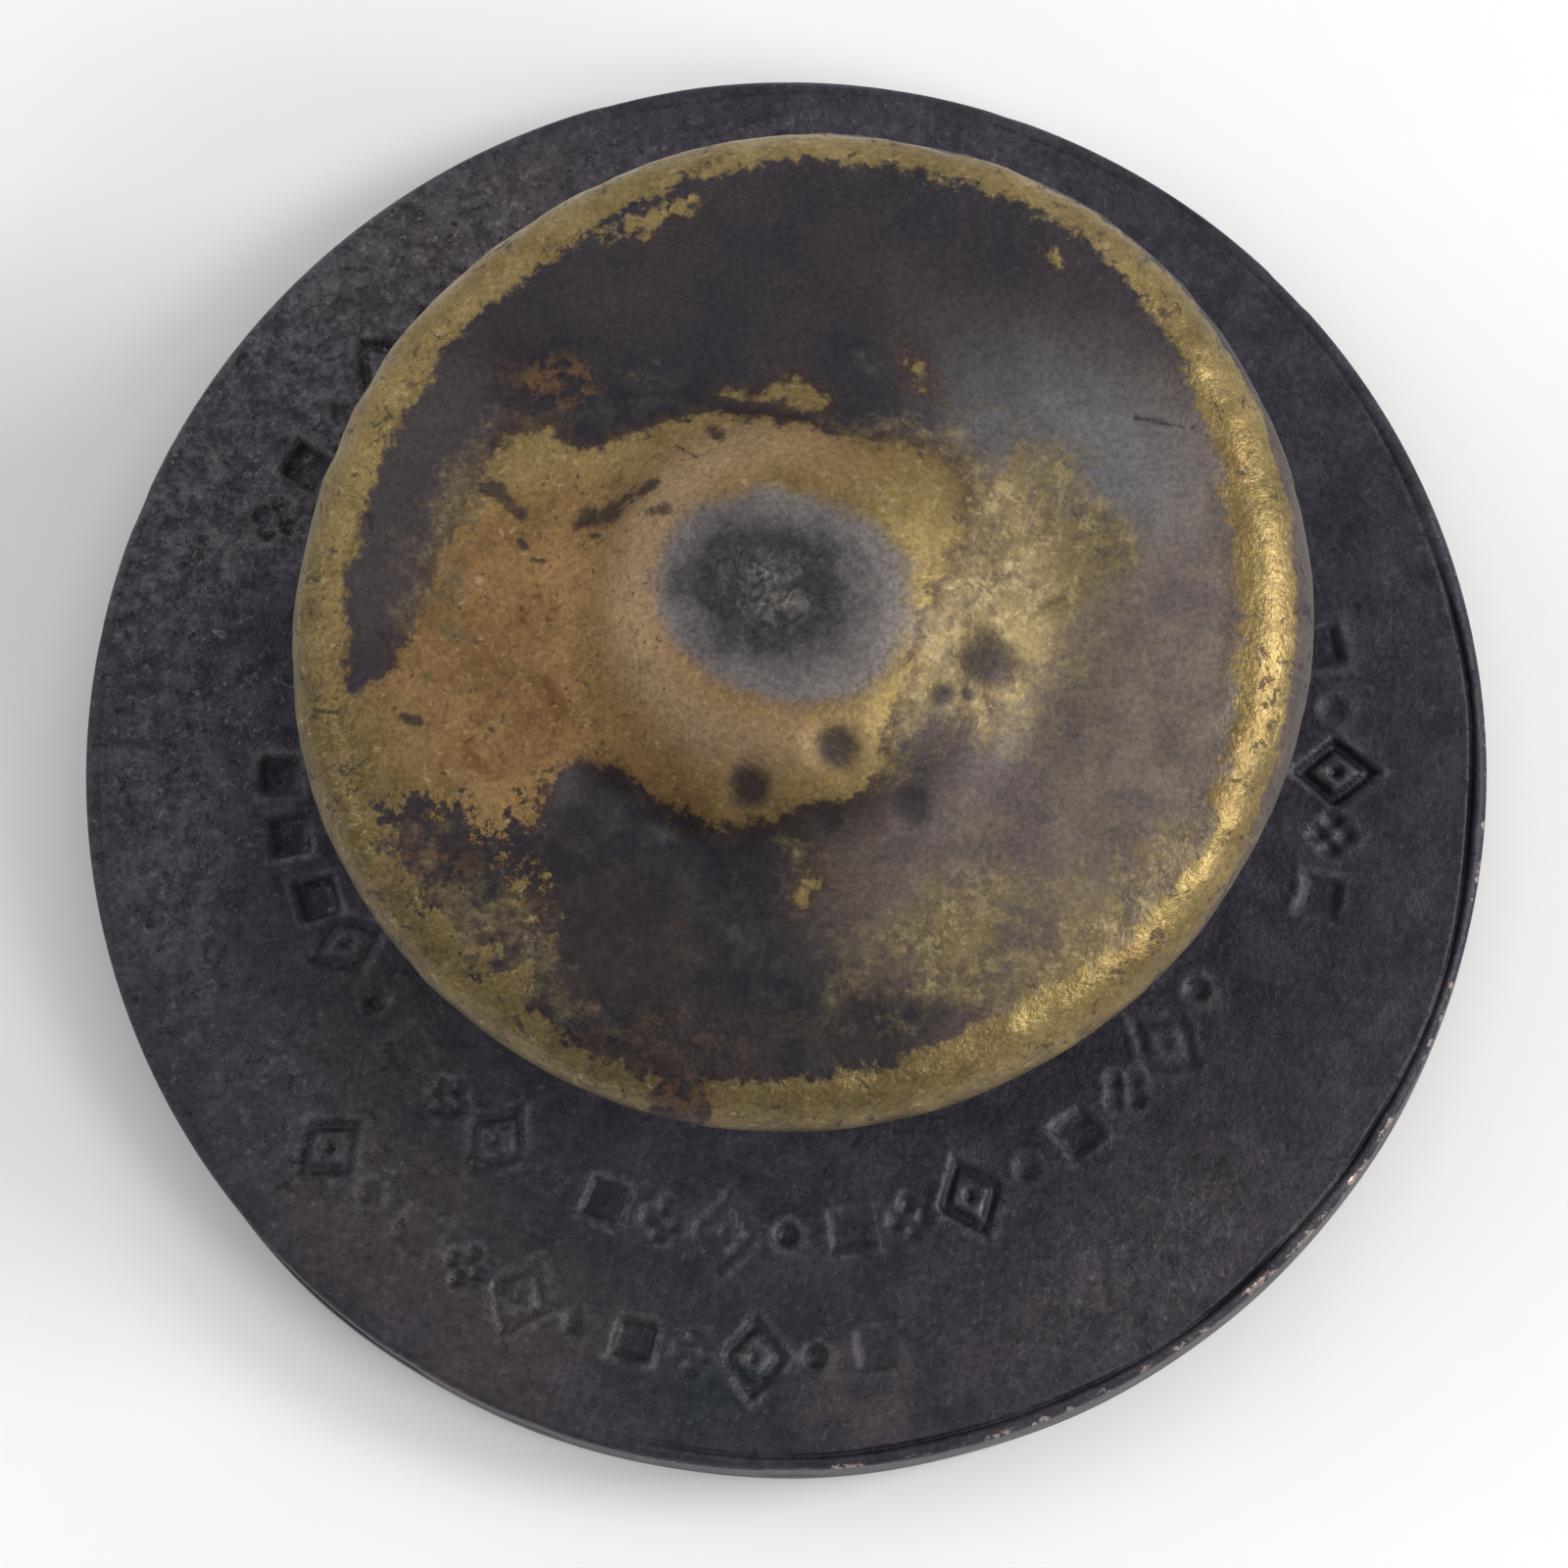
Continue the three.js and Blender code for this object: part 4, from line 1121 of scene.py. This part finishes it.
def brass_fields(x, y, radius, roll):
    """Where the shell is rubbed bright, how its tarnish and stains vary, and where painted reflection,
    painted highlight and painted shade lie on it. Roll is the angle round the rolled rim in degrees, 90 on
    the flat face and 0 at the outermost edge."""
    wear, film = bare_and_film(x, y, roll)
    spot = hub_spot(x, y)
    halo = ramp(inside(x, y, (-0.15, 0.10), (1.62, 1.30), -18), -0.35, 0.45)
    y = y + MARKS_BELOW
    dirt, recess_shade = np.zeros_like(x), np.zeros_like(x)
    # Painted shade in all the dents but the last.
    for dx, dy, size, _ in DENTS[:-1]:
        recess_shade = np.maximum(recess_shade, np.exp(-(((x - dx) ** 2 + (y - dy) ** 2) / (1.1 * size) ** 2) ** 1.2))
    for start, stop, width, _, darkness in SCRATCHES:
        dirt = np.maximum(dirt, darkness * near_line(x, y, start, stop, width * 1.2))
    for start, stop, width in SMEARS:
        dirt = np.maximum(dirt, near_line(x, y, start, stop, width))
    # right and lower_right say where the painted reflection lightens the tarnish (pale).
    right = ramp(x, 0.6, 4.4) * ramp(-y - 0.25 * x, -5.6, -3.2) * (1 - 0.55 * ramp(radius, 6.0, 6.35))
    low_left = ramp(inside(x, y, (-1.4, -4.2), (3.2, 1.6), -4), -0.5, 0.7)
    lower_right = ramp(inside(x, y, (2.4, -3.3), (2.2, 1.4), 12), -0.6, 0.8)
    # Painted shade along the folds below the hub and the crease above it.
    crease_shade = near_line(x, y, (-2.6, -2.2), (-1.2, -2.8), 0.45)
    crease_shade = np.maximum(crease_shade, near_line(x, y, (-1.2, -2.8), (-0.3, -4.6), 0.5))
    upper_crease_shade = ramp(inside(x, y, (-1.9, 2.85), (1.5, 0.5), 8), -0.2, 0.3)
    # A painted highlight in a ring round the hub, on its left flank only.
    ring = np.exp(-(((np.hypot(x + 0.15, y - 0.35) - 2.0) / 0.42) ** 2))
    fields = {name: stains(x, y, zones) for name, zones in BRASS_STAINS.items()}
    fields["copper"] += 0.30 + 0.5 * ramp(-x, 5.4, 6.3)
    fields["brown"] += ramp(-y, 1.6, 3.0)
    fields["flakes"] += 0.85 * ramp(radius, 5.4, 5.9)
    return fields | {
        "wear": wear,
        "film": film,
        "tan": 0.85 * ring * ramp(-x - 0.1 * y, -1.6, 1.4),
        "pale": np.clip(np.maximum(right * (1 - low_left), 0.75 * lower_right) + 0.04, 0, 1),
        "blue": np.maximum(0.85 * crease_shade, 0.8 * upper_crease_shade),
        "rust": stains(x, y, RUST, np.maximum),
        "halo": halo,
        "spot": spot,
        "rim": ramp(radius, 5.3, 5.8),
        # dull: painted shade on the lower left of the rim and at its outer edge.
        "dull": ramp(-x - 1.1 * y, 2.5, 7.5) * ramp(radius, 5.2, 6.0) + 0.5 * ramp(radius, 6.15, 6.5),
        "specks": 0.2 + 0.5 * ramp(-x, -0.5, 2.5),
        "dirt": dirt,
        "recess_shade": recess_shade,
    }


def back_cap():
    """Spun brass shell with its rolled rim, dented face and raised hub."""
    outside = cap_outside()
    angles, radius, height = spin(540, outside, cap_inside())
    roll = np.degrees(np.arctan2(height - ROLL_CENTRE[1], np.maximum(radius - ROLL_CENTRE[0], 1e-6)))
    roll = np.where(radius < ROLL_CENTRE[0], np.where(height > ROLL_CENTRE[1], 90, -90), roll)
    x, y = plan(radius, angles)
    is_outside = np.arange(len(radius))[:, None] < len(outside)
    facing_up = ramp(roll, 20, 75) * is_outside
    height = height + facing_up * ramp(radius, 1.2, 1.9) * face_relief(x, y)
    fields = brass_fields(x, y, radius, roll)
    fields["wear"] = np.where(is_outside, fields["wear"], -1.0)
    fields["film"] = np.where(is_outside, fields["film"], -1.5)
    # The rolled rim is bumped all over, in small facets.
    swing = np.radians(np.clip(roll, -90, 90)) * ROLL_RADIUS
    bumps = ripples(CAP_RADIUS * angles + 0.4 * swing, swing, 0.6, 72, 30)
    bumps = bumps + 0.55 * ripples(CAP_RADIUS * angles - 0.3 * swing, swing, 0.27, 73, 40)
    bumps = bumps * ramp(angles, 0, 0.3) * ramp(-angles, -TURN, -TURN + 0.3)
    bumps = 0.012 * bumps * is_outside * ramp(radius, 5.6, 5.9) * ramp(roll, -20, 10)
    out, up = plan(bumps, np.radians(roll))
    height = height + up
    radius = radius + out
    # Out of round: longest from lower left to upper right, with a few slight flats.
    oval = 0.017 * np.cos(2 * (angles - math.radians(35)))
    flats = 0.004 * ripples(*plan(6, angles), 2.6, 71)
    radius = radius * (1 + (oval + flats) * ramp(radius, 2.0, 6.0))
    obj = around("brass_back_shell", radius, height, angles, POST_AXIS, True, fields)
    finish_piece(obj, "worn_brass", "screw_back", "back_cap")


def back_plate():
    """Flat underside of the back, faintly spun and dented, held by the rolled lip."""
    low, high = plate_low[2], plate_high[2]
    hole = COLLAR_RADIUS - 0.69
    ease = 0.04
    angles, radius, height = spin(
        300,
        arc((hole + ease, low + ease), ease, 180, 270, 3),
        line((hole + 0.1, low), (PLATE_RADIUS - ease, low), 60),
        arc((PLATE_RADIUS - ease, low + ease), ease, 280, 360, 3),
        arc((PLATE_RADIUS - ease, high - ease), ease, 0, 90, 3),
        line((PLATE_RADIUS - 0.1, high), (hole + 0.1, high), 8),
        arc((hole + ease, high - ease), ease, 90, 180, 3),
    )
    x, y = plan(radius, angles)
    height = height + 0.004 * np.sin(TURN * radius / 0.32) * ramp(-height, -low - 0.02, -low)
    height = height + 0.012 * ripples(x, y, 1.8, 81) * ramp(-radius, -5.7, -5.0)
    oval = 0.020 * np.cos(2 * (angles - math.radians(37))) * ramp(radius, 2.0, 6.0)
    obj = around("back_plate_disc", radius * (1 + oval), height, angles, POST_AXIS, True)
    finish_piece(obj, "dull_brass", "screw_back", "back_plate")


def threaded_hub():
    """Tapped bush: neck below the plate, collar above it, body inside the raised hub."""
    low, high = hub_low[2], hub_high[2]
    neck, body = 1.68, 1.55
    collar_low = plate_high[2] + FIT_GAP
    bore = CREST_RADIUS + 0.05
    angles, radius, height = spin(
        120,
        line((bore + 0.16, low + 0.02), (neck - 0.1, low), 4),
        arc((neck - 0.08, low + 0.08), 0.08, -80, 0, 5),
        line((neck, low + 0.15), (neck, collar_low), 3),
        line((neck + 0.1, collar_low), (COLLAR_RADIUS - 0.04, collar_low), 3),
        arc((COLLAR_RADIUS - 0.05, collar_low + 0.23), 0.05, 0, 90, 4),
        line((body + 0.05, collar_low + 0.28), (body, collar_low + 0.34), 2),
        line((body, high - 0.35), (body - 0.3, high), 4),
        line((bore + 0.02, high - 0.01), (bore, high - 0.05), 2),
        line((bore, high - 0.08), (bore, low + 0.2), 120),
        line((bore + 0.05, low + 0.12), (bore + 0.12, low + 0.05), 3),
    )
    in_bore = (np.abs(radius - bore) < 1e-6) & (height < high - 0.07) & (height > low + 0.19)
    radius = np.where(in_bore, thread(height, angles, ROOT_RADIUS + 0.05, CREST_RADIUS + 0.05), radius)
    obj = around("hub_bush", radius, height, angles, POST_AXIS, True)
    finish_piece(obj, "dull_brass", "screw_back", "threaded_hub")


def hub_solder():
    """Plug of solder that closes the hub's mouth and feathers out flush over its top, with a rough,
    wrinkled spot in the middle that has run a little to one side."""
    cols, rows = 220, 56
    stem = [(0.3, PLUG_BOTTOM), (0.98, PLUG_BOTTOM), (1.05, PLUG_BOTTOM + 0.05), (1.05, HUB_TOP - 0.1)]
    angles, stem_radius, stem_height = spin(cols, stem)
    share = 1 - np.linspace(0, 1, rows)[:, None] * 0.985
    radius = (1.46 + 0.04 * ripples(*plan(2, angles), 1.0, 91)) * share
    x, y = plan(radius, angles)
    shell = np.array(HUB_CURVE)[::-1]
    hub_surface = np.interp(radius, shell[:, 0], shell[:, 1])
    spot = hub_spot(x, y)
    wrinkles = ripples(x, y, 0.20, 92, 40) + 0.6 * ripples(x, 2.2 * y, 0.3, 93, 30)
    lift = -0.02 + 0.045 * ramp(-share, -1.0, -0.72) + 0.03 * ramp(spot, -0.1, 0.6)
    top = hub_surface + lift + 0.013 * wrinkles * ramp(spot, -0.15, 0.35) * ramp(-share, -0.95, -0.8)
    radius, height = np.vstack([stem_radius, radius]), np.vstack([stem_height, top])
    fields = {"spot": np.vstack([np.full(stem_radius.shape, -1.0), spot])}
    obj = around("hub_solder_plug", radius, height, angles, POST_AXIS, False, fields)
    finish_piece(obj, "grey_solder", "screw_back", "hub_solder")


# ---- Stage, lights and camera ----


def floor():
    """Pale card, a hair under the badge."""
    bm = bmesh.new()
    bmesh.ops.create_grid(bm, x_segments=8, y_segments=8, size=1.2)
    obj = from_bmesh("pale_floor", bm)
    obj.location.z = -0.00002
    obj.data.materials.append(floor_look())


def sky():
    """Pale room, brightest to the right and the far side, dimmest towards the camera's side."""
    world = bpy.data.worlds.new("soft_room")
    bpy.context.scene.world = world
    world.use_nodes = True
    tree = world.node_tree
    place = tree.nodes.new("ShaderNodeTexCoord")
    lean = tree.nodes.new("ShaderNodeVectorMath")
    lean.operation = "DOT_PRODUCT"
    lean.inputs[1].default_value = (0.12, 0.20, -0.06)
    level = tree.nodes.new("ShaderNodeMath")
    level.inputs[1].default_value = 0.66
    tree.links.new(place.outputs["Generated"], lean.inputs[0])
    tree.links.new(lean.outputs["Value"], level.inputs[0])
    tree.links.new(level.outputs[0], tree.nodes["Background"].inputs["Strength"])
    tree.nodes["Background"].inputs["Color"].default_value = (0.97, 0.98, 1.0, 1)


def softbox(name, place, size, power, tint):
    """Square lamp at a place in mm, aimed at the middle of the badge."""
    lamp = bpy.data.lights.new(name, "AREA")
    lamp.size = size * MM
    lamp.energy = power
    lamp.color = tint
    obj = bpy.data.objects.new(name, lamp)
    bpy.context.scene.collection.objects.link(obj)
    obj.location = Vector(place) * MM
    obj.rotation_euler = (-Vector(place)).to_track_quat("-Z", "Y").to_euler()


def camera():
    """Looks almost straight down on the badge's back, a little from below and from the right."""
    tilt_down, tilt_right, distance, lens = 8.8, 2.3, 131.0, 222.4
    target = Vector((0.0, -0.22, BADGE_TOP))
    away = Vector((math.tan(math.radians(tilt_right)), -math.tan(math.radians(tilt_down)), 1)).normalized()
    right = Vector((0, 1, 0)).cross(away).normalized()
    up = away.cross(right)
    data = bpy.data.cameras.new("camera")
    data.lens = lens
    data.sensor_width = 36.0
    data.clip_start = 0.005
    data.clip_end = 5.0
    obj = bpy.data.objects.new("camera", data)
    bpy.context.scene.collection.objects.link(obj)
    axes = Matrix((right, up, away)).transposed().to_4x4()
    obj.matrix_world = Matrix.Translation((target + away * distance) * MM) @ axes
    bpy.context.scene.camera = obj


LOOKS = {
    "worn_brass": worn_brass_look(),
    "dark_bronze": dark_bronze_look(),
    "dull_brass": dull_brass_look(),
    "grey_solder": grey_solder_look(),
    "blue_enamel": enamel_look("blue_enamel", (0.010, 0.022, 0.110), (0.020, 0.045, 0.180)),
    "cream_enamel": enamel_look("cream_enamel", (0.56, 0.50, 0.36), (0.70, 0.65, 0.50)),
    "red_enamel": enamel_look("red_enamel", (0.20, 0.008, 0.010), (0.32, 0.016, 0.016)),
}

badge_back()
badge_front()
front_spokes()
front_pellets()
enamels()
threaded_post()
foot_solder()
back_cap()
back_plate()
threaded_hub()
hub_solder()
floor()
sky()
softbox("window_right", (235, 25, 170), 90, 0.38, (1.0, 0.97, 0.92))
softbox("window_low", (190, -95, 190), 90, 0.20, (1.0, 0.97, 0.92))
softbox("left_wall", (-220, 60, 190), 170, 0.13, (1.0, 0.98, 0.95))
camera()
bpy.context.scene.view_settings.view_transform = "Standard"
